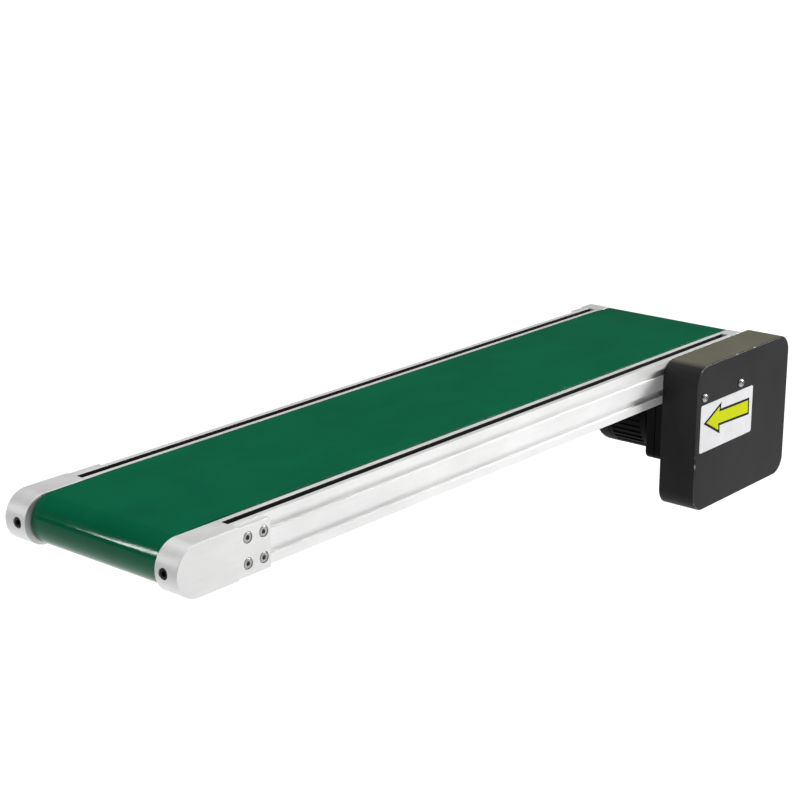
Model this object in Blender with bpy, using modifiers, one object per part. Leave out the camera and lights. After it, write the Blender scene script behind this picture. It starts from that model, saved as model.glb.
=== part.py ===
"""Belt conveyor section with an end drive: side rails, slider bed, belt, take-up tail and gear motor.

Units are metres and +Z is up. The belt runs along X, with the tail at -X and the drive at +X.
Y = 0 is the middle of the belt, and the transmission case is on the right, at -Y.
Z = 0 is the underside of the side rails.
"""
import math

import bmesh
import bpy
from mathutils import Vector

MM = 0.001
TAU = 2 * math.pi

# Driving sizes
LENGTH = 960 * MM
RAIL_HEIGHT = 50 * MM
RAIL_WIDTH = 20 * MM
RAIL_INNER_Y = 86 * MM
GAP = 0.3 * MM                      # between pieces that touch on the real object
RUNNING_GAP = 0.1 * MM              # between a shaft and its bore

# Side rails
RAIL_OUTER_Y = RAIL_INNER_Y + RAIL_WIDTH
TAIL_X = -LENGTH / 2
DRIVE_X = LENGTH / 2
RAIL_START_X = TAIL_X + 75 * MM
RAIL_END_X = DRIVE_X - 43 * MM
SLOT_OPENING = 8 * MM
SLOT_LIP = 1.8 * MM
SLOT_CAVITY = 10.6 * MM
SLOT_DEPTH = 5.8 * MM
LOWER_GROOVE_Z = 13 * MM
UPPER_GROOVE_Z = 37.5 * MM
GROOVE_HEIGHTS = {"lower": LOWER_GROOVE_Z, "upper": UPPER_GROOVE_Z}
TIE_GROOVE_Z = 25 * MM

# End blocks
NOSE_RADIUS = RAIL_HEIGHT / 2
BLOCK_OUTER_Y = RAIL_OUTER_Y + 7.5 * MM
TONGUE_INSET_Z = 1.2 * MM
TAIL_TONGUE_END_X = RAIL_START_X + 40 * MM
DRIVE_TONGUE_START_X = RAIL_END_X - 22 * MM
TAIL_SCREW_XS = (TAIL_X + 86 * MM, TAIL_X + 106 * MM)
DRIVE_SCREW_X = RAIL_END_X - 11 * MM

# Rollers and belt
BELT_THICKNESS = 2 * MM
BELT_WIDTH = 169 * MM
BELT_OUTER_RADIUS = 24.5 * MM
BELT_INNER_RADIUS = BELT_OUTER_RADIUS - BELT_THICKNESS
ROLLER_Z = 25.2 * MM
ROLLER_RADIUS = BELT_INNER_RADIUS - 0.2 * MM
ROLLER_WIDTH = 166 * MM
TAIL_ROLLER_X = TAIL_X + 31 * MM
DRIVE_ROLLER_X = DRIVE_X - 25 * MM
SHAFT_RADIUS = 7.5 * MM
TAKE_UP_TRAVEL = 8 * MM
TENSION_SCREW_Y = 96.5 * MM
TENSION_SCREW_LENGTH = 35 * MM
AXLE_END_Y = 104 * MM
DRIVEN_JOURNAL_END_Y = 140 * MM
TAIL_BEARING = {"radius": 17.5 * MM, "width": 11 * MM}
DRIVE_BEARING = {"radius": 14 * MM, "width": 7 * MM}

# Slider bed, which lifts the belt's top run above the rollers, and cross ties
BELT_LIFT = 1.3 * MM
BED_TOP_Z = ROLLER_Z + BELT_INNER_RADIUS + BELT_LIFT - GAP
BED_THICKNESS = 1.5 * MM
BED_HALF_WIDTH = RAIL_INNER_Y - 0.4 * MM
BED_START_X = TAIL_ROLLER_X + 69 * MM
BED_END_X = DRIVE_ROLLER_X - ROLLER_RADIUS - 6 * MM
TIE_XS = {"tail_cross_tie": -260 * MM, "drive_cross_tie": 200 * MM}
TIE_LENGTH_X = 20 * MM
TIE_TOP_Z = 31 * MM
TIE_BOTTOM_Z = 19 * MM

# Transmission case, on the right side of the drive end
COVER_LOW = Vector((287 * MM, -153 * MM, -124 * MM))
COVER_HIGH = Vector((492 * MM, -RAIL_OUTER_Y - GAP, 50 * MM))
COVER_WALL = 2.5 * MM
COVER_CORNER = 21 * MM
BACK_PLATE_THICKNESS = 6 * MM
PLATE_BACK_Y = -RAIL_OUTER_Y - GAP
PLATE_FRONT_Y = PLATE_BACK_Y - BACK_PLATE_THICKNESS
PLATE_SCREW_OFFSET = (-9 * MM, 17 * MM)       # from the drive roller's axis, in x and up or down
PLATE_SCREW_LENGTH = 20 * MM
COVER_SCREW_XS = (301 * MM, 380.5 * MM)
STANDOFF_RADIUS = 5.8 * MM
LABEL_LOW = (294.5 * MM, -53 * MM)
LABEL_HIGH = (409.5 * MM, 4 * MM)
LABEL_THICKNESS = 0.4 * MM
LABEL_CORNER = 3 * MM

# Motor and gear train, along Y under the rails
MOTOR_X = 403 * MM
MOTOR_Z = -52.5 * MM
MOTOR_RADIUS = 45 * MM
MOTOR_REAR_Y = 38 * MM
MOTOR_SHELL_REAR_Y = 16 * MM
GEARBOX_REAR_Y = -40 * MM
GEARBOX_SIDE = 90 * MM
GEARBOX_WALL = 5 * MM
GEARBOX_FRONT_WALL = 8 * MM
GEARBOX_SCREW_PITCH = 73.5 * MM
GEAR_MODULE = 1 * MM
PINION_TEETH = 12
WHEEL_TEETH = 36
OUTPUT_TEETH = 30
OUTPUT_OFFSET_Z = 18 * MM
OUTPUT_X = MOTOR_X
OUTPUT_Z = MOTOR_Z + OUTPUT_OFFSET_Z
STACK_Y = (-22 * MM, 2 * MM)
WINDING_LENGTH = 5 * MM
ROTOR_RADIUS = 25.2 * MM
ROTOR_REAR_Y = 30 * MM
ROTOR_SHAFT_RADIUS = 6 * MM
IDLER_SHAFT_RADIUS = 4 * MM
STAGE_ONE_Y = (-60 * MM, -50 * MM)
STAGE_TWO_Y = (-90 * MM, -78 * MM)
OUTPUT_SHAFT_Y = (-142 * MM, -66 * MM)

# Timing belt drive
PULLEY_TEETH = 24
PULLEY_TIP_RADIUS = 19 * MM
PULLEY_ROOT_RADIUS = 17.2 * MM
PULLEY_FLANGE_RADIUS = 21.8 * MM
PULLEY_Y = (-136.5 * MM, -119.5 * MM)
PULLEY_FLANGE = 1.2 * MM
TIMING_BELT_THICKNESS = 2 * MM

# Fasteners
M6 = {"shank": 2.95 * MM, "head": 5 * MM, "low_head": 4 * MM, "tall_head": 6 * MM, "hex": 2.5 * MM}
M5 = {"shank": 2.45 * MM, "head": 4.25 * MM, "tall_head": 5 * MM, "hex": 2 * MM}
M6_HOLE = 3.2 * MM
M5_HOLE = 2.7 * MM
COUNTERBORE_RADIUS = 5.5 * MM
NUT_WIDTH = 10 * MM
NUT_THICKNESS = 3.4 * MM
BOLT_SEGMENTS = 12
ROUND_SEGMENTS = 24

SIDES = {"left": 1, "right": -1}


def remove_start_objects():
    for old_object in list(bpy.data.objects):
        bpy.data.objects.remove(old_object, do_unlink=True)


def new_collection(name):
    collection = bpy.data.collections.new(name)
    bpy.context.scene.collection.children.link(collection)
    return collection


def make_material(name, color, roughness, metallic):
    material = bpy.data.materials.new(name)
    material.use_nodes = True
    shader = material.node_tree.nodes["Principled BSDF"]
    shader.inputs["Base Color"].default_value = (*color, 1)
    shader.inputs["Roughness"].default_value = roughness
    shader.inputs["Metallic"].default_value = metallic
    return material


remove_start_objects()
PARTS = new_collection("belt_conveyor_section")
CUTTERS = new_collection("cutters")

ALUMINIUM = make_material("anodised_aluminium", (0.78, 0.79, 0.81), 0.35, 1.0)
BELT_GREEN = make_material("green_pvc", (0.008, 0.115, 0.053), 0.22, 0.0)
SHEET_STEEL = make_material("zinc_sheet", (0.62, 0.63, 0.64), 0.4, 1.0)
MACHINED_STEEL = make_material("machined_steel", (0.55, 0.56, 0.57), 0.3, 1.0)
SCREW_STEEL = make_material("zinc_screw", (0.48, 0.48, 0.47), 0.35, 1.0)
BLACK_STEEL = make_material("black_oxide_steel", (0.03, 0.03, 0.032), 0.4, 0.8)
COVER_PAINT = make_material("charcoal_paint", (0.040, 0.037, 0.037), 0.5, 0.0)
MOTOR_PAINT = make_material("black_motor_paint", (0.008, 0.008, 0.009), 0.45, 0.0)
LABEL_PRINT = make_material("label_film", (0.76, 0.74, 0.78), 0.35, 0.0)
BLACK_RUBBER = make_material("black_rubber", (0.012, 0.012, 0.012), 0.7, 0.0)
COPPER = make_material("copper_winding", (0.60, 0.26, 0.13), 0.4, 1.0)


# Building blocks

def finish(piece, material, collection=PARTS):
    """Put a new object in its collection with its own material."""
    for old_collection in list(piece.users_collection):
        old_collection.objects.unlink(piece)
    collection.objects.link(piece)
    if material:
        piece.data.materials.clear()
        piece.data.materials.append(material)
    else:
        piece.hide_render = True
        piece.display_type = "WIRE"
    return piece


def turned(name, profile, origin, direction, material, segments=ROUND_SEGMENTS, closed=False):
    """Spin a profile of (radius, height) points about a line through origin along direction."""
    mesh = bpy.data.meshes.new(name)
    count = len(profile)
    edges = [(i, i + 1) for i in range(count - 1)]
    if closed:
        edges.append((count - 1, 0))
    mesh.from_pydata([(radius, 0, height) for radius, height in profile], edges, [])
    piece = bpy.data.objects.new(name, mesh)
    piece.location = origin
    piece.rotation_euler = Vector(direction).to_track_quat("Z", "Y").to_euler()
    screw = piece.modifiers.new("spin", "SCREW")
    screw.axis = "Z"
    screw.steps = segments
    screw.render_steps = segments
    screw.use_merge_vertices = True
    screw.merge_threshold = 0.00001
    return finish(piece, material, PARTS if material else CUTTERS)


def extruded(name, loops, plane, span, material, origin=(0, 0)):
    """Extrude flat outlines: plane XZ runs along Y, plane YZ runs along X. Later loops are holes."""
    curve = bpy.data.curves.new(name, "CURVE")
    curve.dimensions = "2D"
    curve.fill_mode = "BOTH"
    curve.extrude = abs(span[1] - span[0]) / 2
    for loop in loops:
        spline = curve.splines.new("POLY")
        spline.points.add(len(loop) - 1)
        for point, (across, up) in zip(spline.points, loop):
            point.co = (across, up, 0, 1)
        spline.use_cyclic_u = True
    outline = bpy.data.objects.new(name + "_outline", curve)
    PARTS.objects.link(outline)
    graph = bpy.context.evaluated_depsgraph_get()
    mesh = bpy.data.meshes.new_from_object(outline.evaluated_get(graph))
    bpy.data.objects.remove(outline)
    solid = bmesh.new()
    solid.from_mesh(mesh)
    bmesh.ops.remove_doubles(solid, verts=solid.verts, dist=0.000001)
    bmesh.ops.recalc_face_normals(solid, faces=solid.faces)
    solid.to_mesh(mesh)
    solid.free()
    piece = bpy.data.objects.new(name, mesh)
    middle = (span[0] + span[1]) / 2
    if plane == "XZ":
        piece.location = (origin[0], middle, origin[1])
        piece.rotation_euler = (math.pi / 2, 0, 0)
    else:
        piece.location = (middle, origin[0], origin[1])
        piece.rotation_euler = (math.pi / 2, 0, math.pi / 2)
    return finish(piece, material, PARTS if material else CUTTERS)


def box(name, low, high, material):
    bpy.ops.mesh.primitive_cube_add(size=1)
    piece = bpy.context.object
    piece.name = name
    piece.location = (Vector(low) + Vector(high)) / 2
    piece.scale = Vector(high) - Vector(low)
    return finish(piece, material, PARTS if material else CUTTERS)


def rod(name, radius, start, end, material, segments=ROUND_SEGMENTS):
    """A cylinder, or with 6 segments a hexagonal bar, from start to end."""
    start = Vector(start)
    end = Vector(end)
    length = (end - start).length
    bpy.ops.mesh.primitive_cylinder_add(vertices=segments, radius=radius, depth=length)
    piece = bpy.context.object
    piece.name = name
    piece.location = (start + end) / 2
    piece.rotation_euler = (end - start).to_track_quat("Z", "Y").to_euler()
    return finish(piece, material, PARTS if material else CUTTERS)


def combine(target, tool, operation):
    boolean = target.modifiers.new(operation.lower() + "_" + tool.name, "BOOLEAN")
    boolean.operation = operation
    boolean.object = tool
    boolean.solver = "EXACT"
    return target


def cut(target, *tools):
    for tool in tools:
        combine(target, tool, "DIFFERENCE")


def join(target, *tools):
    for tool in tools:
        combine(target, tool, "UNION")


def bevel_front_edges(piece, is_front, width, segments):
    """Round the edges whose two ends both pass is_front, which reads local coordinates."""
    weights = piece.data.attributes.new("bevel_weight_edge", "FLOAT", "EDGE")
    vertices = piece.data.vertices
    for edge in piece.data.edges:
        if all(is_front(vertices[index].co) for index in edge.vertices):
            weights.data[edge.index].value = 1
    bevel = piece.modifiers.new("front_edge", "BEVEL")
    bevel.limit_method = "WEIGHT"
    bevel.width = width
    bevel.segments = segments


def arc(center, radius, start, end, steps):
    """Points on an arc, with the angles in degrees counted from +across towards +up."""
    points = []
    for step in range(steps + 1):
        angle = math.radians(start + (end - start) * step / steps)
        points.append((center[0] + radius * math.cos(angle), center[1] + radius * math.sin(angle)))
    return points


def rounded_rectangle(low, high, radius, steps=5):
    points = arc((high[0] - radius, high[1] - radius), radius, 0, 90, steps)
    points += arc((low[0] + radius, high[1] - radius), radius, 90, 180, steps)
    points += arc((low[0] + radius, low[1] + radius), radius, 180, 270, steps)
    points += arc((high[0] - radius, low[1] + radius), radius, 270, 360, steps)
    return points


def belt_loop(first, second, radius, lifted=(), steps=14):
    """The outline round two equal circles. lifted holds points of the run from second back to first."""
    heading = math.degrees(math.atan2(second[1] - first[1], second[0] - first[0]))
    points = arc(second, radius, heading - 90, heading + 90, steps)
    points += lifted
    points += arc(first, radius, heading + 90, heading + 270, steps)
    return points


def toothed_outline(teeth, root_radius, tip_radius, root_half, tip_half, phase):
    """Straight-sided teeth. The halves are half a tooth's width, and phase points at a tooth."""
    points = []
    for tooth in range(teeth):
        middle = phase + TAU * tooth / teeth
        corners = ((root_radius, -root_half), (tip_radius, -tip_half), (tip_radius, tip_half),
                   (root_radius, root_half))
        for radius, half in corners:
            angle = middle + half / radius
            points.append((radius * math.cos(angle), radius * math.sin(angle)))
    return points


def gear_outline(teeth, phase):
    pitch_radius = GEAR_MODULE * teeth / 2
    root_radius = pitch_radius - 1.25 * GEAR_MODULE
    tip_radius = pitch_radius + 0.9 * GEAR_MODULE
    return toothed_outline(teeth, root_radius, tip_radius, 1.05 * GEAR_MODULE, 0.28 * GEAR_MODULE, phase)


# Fasteners

def socket_screw(name, size, head_height, seat, direction, length, material=SCREW_STEEL):
    """A hexagon socket screw. seat is under its head, and direction points out of the head."""
    edge = 0.4 * MM
    head = size["head"]
    shank = size["shank"]
    profile = [(0, head_height), (head - edge, head_height), (head, head_height - edge), (head, 0),
               (shank, 0), (shank, -length + edge), (shank - edge, -length), (0, -length)]
    screw = turned(name, profile, seat, direction, material, BOLT_SEGMENTS)
    out = Vector(direction)
    top = Vector(seat) + out * head_height
    socket_depth = 0.55 * head_height
    hexagon = size["hex"] / math.cos(math.pi / 6)
    cut(screw, rod(name + "_socket", hexagon, top - out * socket_depth, top + out * MM, None, 6))
    return screw


def slot_nut(name, side, z, xs, material=SCREW_STEEL):
    """A bar in a rail's outer groove, with a threaded hole at each x."""
    margin = 7 * MM
    outer = RAIL_OUTER_Y - SLOT_LIP - GAP
    inner = outer - NUT_THICKNESS
    low = (min(xs) - margin, min(side * inner, side * outer), z - NUT_WIDTH / 2)
    high = (max(xs) + margin, max(side * inner, side * outer), z + NUT_WIDTH / 2)
    nut = box(name, low, high, material)
    for number, x in enumerate(xs, 1):
        start = (x, side * (inner - MM), z)
        end = (x, side * (outer + MM), z)
        cut(nut, rod(f"{name}_thread_{number}", M6_HOLE, start, end, None, BOLT_SEGMENTS))
    return nut


# Frame

def t_slot(middle, along, inward):
    """Eight corners of a T-slot in an edge that runs along, with its cavity inward."""
    half_open = SLOT_OPENING / 2
    half_cavity = SLOT_CAVITY / 2
    half = [(half_cavity, SLOT_DEPTH), (half_cavity, SLOT_LIP), (half_open, SLOT_LIP), (half_open, 0)]
    corners = [(-a, d) for a, d in reversed(half)] + half
    return [(middle[0] + along[0] * a + inward[0] * d, middle[1] + along[1] * a + inward[1] * d)
            for a, d in corners]


def rail_outline(side):
    """Section of a rail, from its inner face outwards, with T-slots on all four sides."""
    middle = RAIL_WIDTH / 2
    outline = [(0, 0)]
    outline += t_slot((middle, 0), (1, 0), (0, 1))
    outline += [(RAIL_WIDTH, 0)]
    outline += t_slot((RAIL_WIDTH, LOWER_GROOVE_Z), (0, 1), (-1, 0))
    outline += t_slot((RAIL_WIDTH, UPPER_GROOVE_Z), (0, 1), (-1, 0))
    outline += [(RAIL_WIDTH, RAIL_HEIGHT)]
    outline += t_slot((middle, RAIL_HEIGHT), (-1, 0), (0, -1))
    outline += [(0, RAIL_HEIGHT)]
    outline += t_slot((0, TIE_GROOVE_Z), (0, -1), (1, 0))
    return [(side * (RAIL_INNER_Y + across), up) for across, up in outline]


def build_rails():
    for name, side in SIDES.items():
        extruded(name + "_side_rail", [rail_outline(side)], "YZ", (RAIL_START_X, RAIL_END_X), ALUMINIUM)


def build_bed_and_ties():
    """The folded bed stands on two ties whose T-shaped ends slide in the rails' inner grooves."""
    w = BED_HALF_WIDTH
    t = BED_THICKNESS
    bottom = TIE_TOP_Z + GAP
    fold = [(-w, bottom), (-w, BED_TOP_Z), (w, BED_TOP_Z), (w, bottom), (w - t, bottom),
            (w - t, BED_TOP_Z - t), (t - w, BED_TOP_Z - t), (t - w, bottom)]
    extruded("slider_bed", [fold], "YZ", (BED_START_X, BED_END_X), SHEET_STEEL)

    shoulder = RAIL_INNER_Y - 0.5 * MM
    head_start = RAIL_INNER_Y + SLOT_LIP + GAP
    head_end = RAIL_INNER_Y + SLOT_DEPTH - GAP
    neck = SLOT_OPENING / 2 - GAP
    head = SLOT_CAVITY / 2 - GAP
    right_half = [(shoulder, TIE_BOTTOM_Z), (shoulder, TIE_GROOVE_Z - neck), (head_start, TIE_GROOVE_Z - neck),
                  (head_start, TIE_GROOVE_Z - head), (head_end, TIE_GROOVE_Z - head),
                  (head_end, TIE_GROOVE_Z + head), (head_start, TIE_GROOVE_Z + head),
                  (head_start, TIE_GROOVE_Z + neck), (shoulder, TIE_GROOVE_Z + neck), (shoulder, TIE_TOP_Z)]
    left_half = [(-y, z) for y, z in reversed(right_half)]
    for name, x in TIE_XS.items():
        span = (x - TIE_LENGTH_X / 2, x + TIE_LENGTH_X / 2)
        extruded(name, [right_half + left_half], "YZ", span, ALUMINIUM)


def nose_outline(face_x, tip):
    """Block outline from a flat face at face_x to the round nose. tip is -1 for the tail, 1 for the drive."""
    center = (tip * (LENGTH / 2 - NOSE_RADIUS), NOSE_RADIUS)
    return [(face_x, RAIL_HEIGHT), (face_x, 0)] + arc(center, NOSE_RADIUS, -90, -90 + tip * 180, 16)


def span_y(side, inner, outer):
    return (side * inner, side * outer)


def block_with_tongue(name, side, tip, face_x, tongue_x):
    """A nose as deep as the rail, with a tongue that laps over the rail's outer face."""
    block = extruded(name, [nose_outline(face_x, tip)], "XZ", span_y(side, RAIL_INNER_Y, BLOCK_OUTER_Y),
                     ALUMINIUM)
    low = (min(tongue_x, face_x - 5 * MM), TONGUE_INSET_Z)
    high = (max(tongue_x, face_x + 5 * MM), RAIL_HEIGHT - TONGUE_INSET_Z)
    tongue = extruded(name + "_tongue", [rounded_rectangle(low, high, 2 * MM, 3)], "XZ",
                      span_y(side, RAIL_OUTER_Y + GAP, BLOCK_OUTER_Y - 0.0001 * MM), None)
    join(block, tongue)
    return block


def block_screws(block, side, names_and_places):
    """Countersink the tongue and put a low-head screw in each place."""
    seat_y = side * (BLOCK_OUTER_Y - M6["low_head"] - GAP)
    tip_y = side * (RAIL_OUTER_Y - SLOT_LIP - NUT_THICKNESS - GAP)
    for name, x, z in names_and_places:
        through = (x, side * (RAIL_OUTER_Y - MM), z)
        outside = (x, side * (BLOCK_OUTER_Y + MM), z)
        cut(block, rod(name + "_hole", M6_HOLE, through, outside, None, BOLT_SEGMENTS))
        cut(block, rod(name + "_bore", COUNTERBORE_RADIUS, (x, seat_y - side * 0.05 * MM, z), outside, None, 24))
        socket_screw(name, M6, M6["low_head"], (x, seat_y, z), (0, side, 0), abs(seat_y - tip_y))


def build_tail_blocks():
    for name, side in SIDES.items():
        block = block_with_tongue(name + "_tail_block", side, -1, RAIL_START_X - GAP, TAIL_TONGUE_END_X)
        places = []
        for row, z in GROOVE_HEIGHTS.items():
            slot_nut(f"{name}_tail_slot_nut_{row}", side, z, TAIL_SCREW_XS)
            for number, x in enumerate(TAIL_SCREW_XS, 1):
                places.append((f"{name}_tail_screw_{row}_{number}", x, z))
        block_screws(block, side, places)

        pocket_half = SHAFT_RADIUS + 0.2 * MM
        pocket_low = (TAIL_ROLLER_X - pocket_half, side * (RAIL_INNER_Y - MM), ROLLER_Z - pocket_half)
        pocket_high = (TAIL_ROLLER_X + TAKE_UP_TRAVEL + pocket_half + 0.4 * MM,
                       side * (AXLE_END_Y + 0.5 * MM), ROLLER_Z + pocket_half)
        cut(block, box(name + "_axle_pocket", pocket_low, pocket_high, None))
        y = side * TENSION_SCREW_Y
        head_bottom_x = TAIL_X + 7 * MM
        cut(block,
            rod(name + "_tension_bore", COUNTERBORE_RADIUS, (TAIL_X - MM, y, ROLLER_Z),
                (head_bottom_x + 0.1 * MM, y, ROLLER_Z), None, 24),
            rod(name + "_tension_hole", M6_HOLE, (TAIL_X, y, ROLLER_Z), (TAIL_ROLLER_X, y, ROLLER_Z), None,
                BOLT_SEGMENTS))
        socket_screw(name + "_tension_screw", M6, M6["tall_head"], (head_bottom_x, y, ROLLER_Z), (-1, 0, 0),
                     TENSION_SCREW_LENGTH, BLACK_STEEL)


def build_drive_blocks():
    center = (DRIVE_ROLLER_X, ROLLER_Z)
    seat_radius = DRIVE_BEARING["radius"] + 0.15 * MM
    seat_end = RAIL_INNER_Y + MM + DRIVE_BEARING["width"] + GAP

    def bearing_seat(name, side, shaft_end):
        def at(y):
            return (center[0], side * y, center[1])
        seat = rod(name + "_bearing_seat", seat_radius, at(RAIL_INNER_Y - MM), at(seat_end), None)
        hole = rod(name + "_shaft_hole", SHAFT_RADIUS + MM, at(RAIL_INNER_Y), at(shaft_end), None)
        return seat, hole

    left = block_with_tongue("left_drive_block", 1, 1, RAIL_END_X + GAP, DRIVE_TONGUE_START_X)
    places = []
    for row, z in GROOVE_HEIGHTS.items():
        slot_nut(f"left_drive_slot_nut_{row}", 1, z, (DRIVE_SCREW_X,))
        places.append((f"left_drive_screw_{row}", DRIVE_SCREW_X, z))
    block_screws(left, 1, places)
    cut(left, *bearing_seat("left_drive", 1, RAIL_OUTER_Y))

    right = extruded("right_drive_block", [nose_outline(RAIL_END_X + GAP, 1)], "XZ",
                     span_y(-1, RAIL_INNER_Y, RAIL_OUTER_Y), ALUMINIUM)
    cut(right, *bearing_seat("right_drive", -1, RAIL_OUTER_Y + MM))
    return right


# Rollers, axle and belt

def ring_bearing(name, x, side, inner_y, size):
    """A sealed ball bearing as one ring, with its shields set back from the two races."""
    bore = SHAFT_RADIUS + RUNNING_GAP
    outer = size["radius"]
    width = size["width"]
    race = (outer - bore) / 4
    recess = 0.6 * MM
    profile = [(bore, 0), (bore, width), (bore + race, width), (bore + race, width - recess),
               (outer - race, width - recess), (outer - race, width), (outer, width), (outer, 0),
               (outer - race, 0), (outer - race, recess), (bore + race, recess), (bore + race, 0)]
    turned(name, profile, (x, side * inner_y, ROLLER_Z), (0, side, 0), MACHINED_STEEL, closed=True)


def build_tail_roller():
    half = ROLLER_WIDTH / 2
    bearing_depth = TAIL_BEARING["width"] + GAP
    seat = TAIL_BEARING["radius"] + 0.15 * MM
    relief = seat - 1.2 * MM
    profile = [(seat, -half), (seat, bearing_depth - half), (relief, bearing_depth - half),
               (relief, half - bearing_depth), (seat, half - bearing_depth), (seat, half),
               (ROLLER_RADIUS - 0.6 * MM, half), (ROLLER_RADIUS, half - 0.6 * MM),
               (ROLLER_RADIUS, 0.6 * MM - half), (ROLLER_RADIUS - 0.6 * MM, -half)]
    turned("tail_roller_tube", profile, (TAIL_ROLLER_X, 0, ROLLER_Z), (0, 1, 0), MACHINED_STEEL, closed=True)
    for name, side in SIDES.items():
        ring_bearing(name + "_tail_bearing", TAIL_ROLLER_X, side, half - TAIL_BEARING["width"], TAIL_BEARING)

    edge = 0.5 * MM
    profile = [(0, AXLE_END_Y), (SHAFT_RADIUS - edge, AXLE_END_Y), (SHAFT_RADIUS, AXLE_END_Y - edge),
               (SHAFT_RADIUS, edge - AXLE_END_Y), (SHAFT_RADIUS - edge, -AXLE_END_Y), (0, -AXLE_END_Y)]
    axle = turned("tail_axle", profile, (TAIL_ROLLER_X, 0, ROLLER_Z), (0, 1, 0), MACHINED_STEEL)
    for name, side in SIDES.items():
        y = side * TENSION_SCREW_Y
        cut(axle, rod(name + "_tension_thread", M6_HOLE, (TAIL_ROLLER_X - 10 * MM, y, ROLLER_Z),
                      (TAIL_ROLLER_X + 10 * MM, y, ROLLER_Z), None, BOLT_SEGMENTS))


def build_drive_roller():
    """A solid roller with a journal in each block. The right journal carries the driven pulley."""
    half = ROLLER_WIDTH / 2
    left_end = RAIL_INNER_Y + 14 * MM
    right_end = DRIVEN_JOURNAL_END_Y
    edge = 0.6 * MM
    shoulder = RAIL_INNER_Y + 0.5 * MM
    step = SHAFT_RADIUS + 2 * MM
    profile = [(0, left_end), (SHAFT_RADIUS - edge, left_end), (SHAFT_RADIUS, left_end - edge),
               (SHAFT_RADIUS, shoulder), (step, shoulder), (step, half), (ROLLER_RADIUS - edge, half),
               (ROLLER_RADIUS, half - edge), (ROLLER_RADIUS, edge - half), (ROLLER_RADIUS - edge, -half),
               (step, -half), (step, -shoulder), (SHAFT_RADIUS, -shoulder), (SHAFT_RADIUS, edge - right_end),
               (SHAFT_RADIUS - edge, -right_end), (0, -right_end)]
    turned("drive_roller", profile, (DRIVE_ROLLER_X, 0, ROLLER_Z), (0, 1, 0), MACHINED_STEEL)
    for name, side in SIDES.items():
        ring_bearing(name + "_drive_bearing", DRIVE_ROLLER_X, side, RAIL_INNER_Y + MM, DRIVE_BEARING)


def build_conveyor_belt():
    ends = ((TAIL_ROLLER_X, ROLLER_Z), (DRIVE_ROLLER_X, ROLLER_Z))
    loops = []
    for radius in (BELT_OUTER_RADIUS, BELT_INNER_RADIUS):
        lifted_z = ROLLER_Z + radius + BELT_LIFT
        loops.append(belt_loop(*ends, radius, [(BED_END_X, lifted_z), (BED_START_X, lifted_z)]))
    extruded("conveyor_belt", loops, "XZ", (-BELT_WIDTH / 2, BELT_WIDTH / 2), BELT_GREEN)


# Transmission case

def build_back_plate(right_drive_block):
    inset = COVER_WALL + 0.5 * MM
    low = (COVER_LOW.x + inset, COVER_LOW.z + inset)
    high = (COVER_HIGH.x - inset, COVER_HIGH.z - inset)
    plate = extruded("transmission_back_plate", [rounded_rectangle(low, high, COVER_CORNER - inset)], "XZ",
                     (PLATE_BACK_Y, PLATE_FRONT_Y), SHEET_STEEL)

    def drill(name, radius, x, z, segments=BOLT_SEGMENTS):
        cut(plate, rod(name, radius, (x, PLATE_FRONT_Y - MM, z), (x, PLATE_BACK_Y + MM, z), None, segments))

    drill("roller_shaft_clearance", SHAFT_RADIUS + 2 * MM, DRIVE_ROLLER_X, ROLLER_Z, 24)
    drill("output_shaft_clearance", SHAFT_RADIUS + 2 * MM, OUTPUT_X, OUTPUT_Z, 24)

    x = DRIVE_ROLLER_X + PLATE_SCREW_OFFSET[0]
    for name, z in (("lower", ROLLER_Z - PLATE_SCREW_OFFSET[1]), ("upper", ROLLER_Z + PLATE_SCREW_OFFSET[1])):
        drill(f"block_screw_clearance_{name}", M5_HOLE, x, z)
        thread_end = (x, PLATE_FRONT_Y + PLATE_SCREW_LENGTH + MM, z)
        cut(right_drive_block, rod(f"block_thread_{name}", M5_HOLE, (x, -RAIL_OUTER_Y - MM, z), thread_end, None,
                                   BOLT_SEGMENTS))
        socket_screw(f"back_plate_screw_{name}", M5, M5["tall_head"], (x, PLATE_FRONT_Y - GAP, z), (0, -1, 0),
                     PLATE_SCREW_LENGTH, BLACK_STEEL)

    slot_nut("standoff_slot_nut", -1, LOWER_GROOVE_Z, COVER_SCREW_XS)
    for number, screw_x in enumerate(COVER_SCREW_XS, 1):
        drill(f"standoff_clearance_{number}", M6_HOLE, screw_x, LOWER_GROOVE_Z)
        build_standoff(number, screw_x)
    half_pitch = GEARBOX_SCREW_PITCH / 2
    for row, z in (("lower", MOTOR_Z - half_pitch), ("upper", MOTOR_Z + half_pitch)):
        for number, screw_x in enumerate((MOTOR_X - half_pitch, MOTOR_X + half_pitch), 1):
            drill(f"gearbox_screw_clearance_{row}_{number}", M6_HOLE, screw_x, z)


def build_standoff(number, x):
    """A hexagonal spacer with a stud at its back and a tapped hole at its front for a cover screw."""
    z = LOWER_GROOVE_Z
    back = PLATE_FRONT_Y - GAP
    front = COVER_LOW.y + COVER_WALL + GAP
    stud_tip = -RAIL_OUTER_Y + SLOT_LIP + NUT_THICKNESS
    standoff = rod(f"cover_standoff_{number}", STANDOFF_RADIUS, (x, back, z), (x, front, z), SCREW_STEEL, 6)
    stud = rod(f"standoff_stud_{number}", M6["shank"], (x, back - MM, z), (x, stud_tip, z), None, BOLT_SEGMENTS)
    join(standoff, stud)
    cut(standoff, rod(f"standoff_thread_{number}", M5_HOLE, (x, front + 12 * MM, z), (x, front - MM, z), None,
                      BOLT_SEGMENTS))


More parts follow.
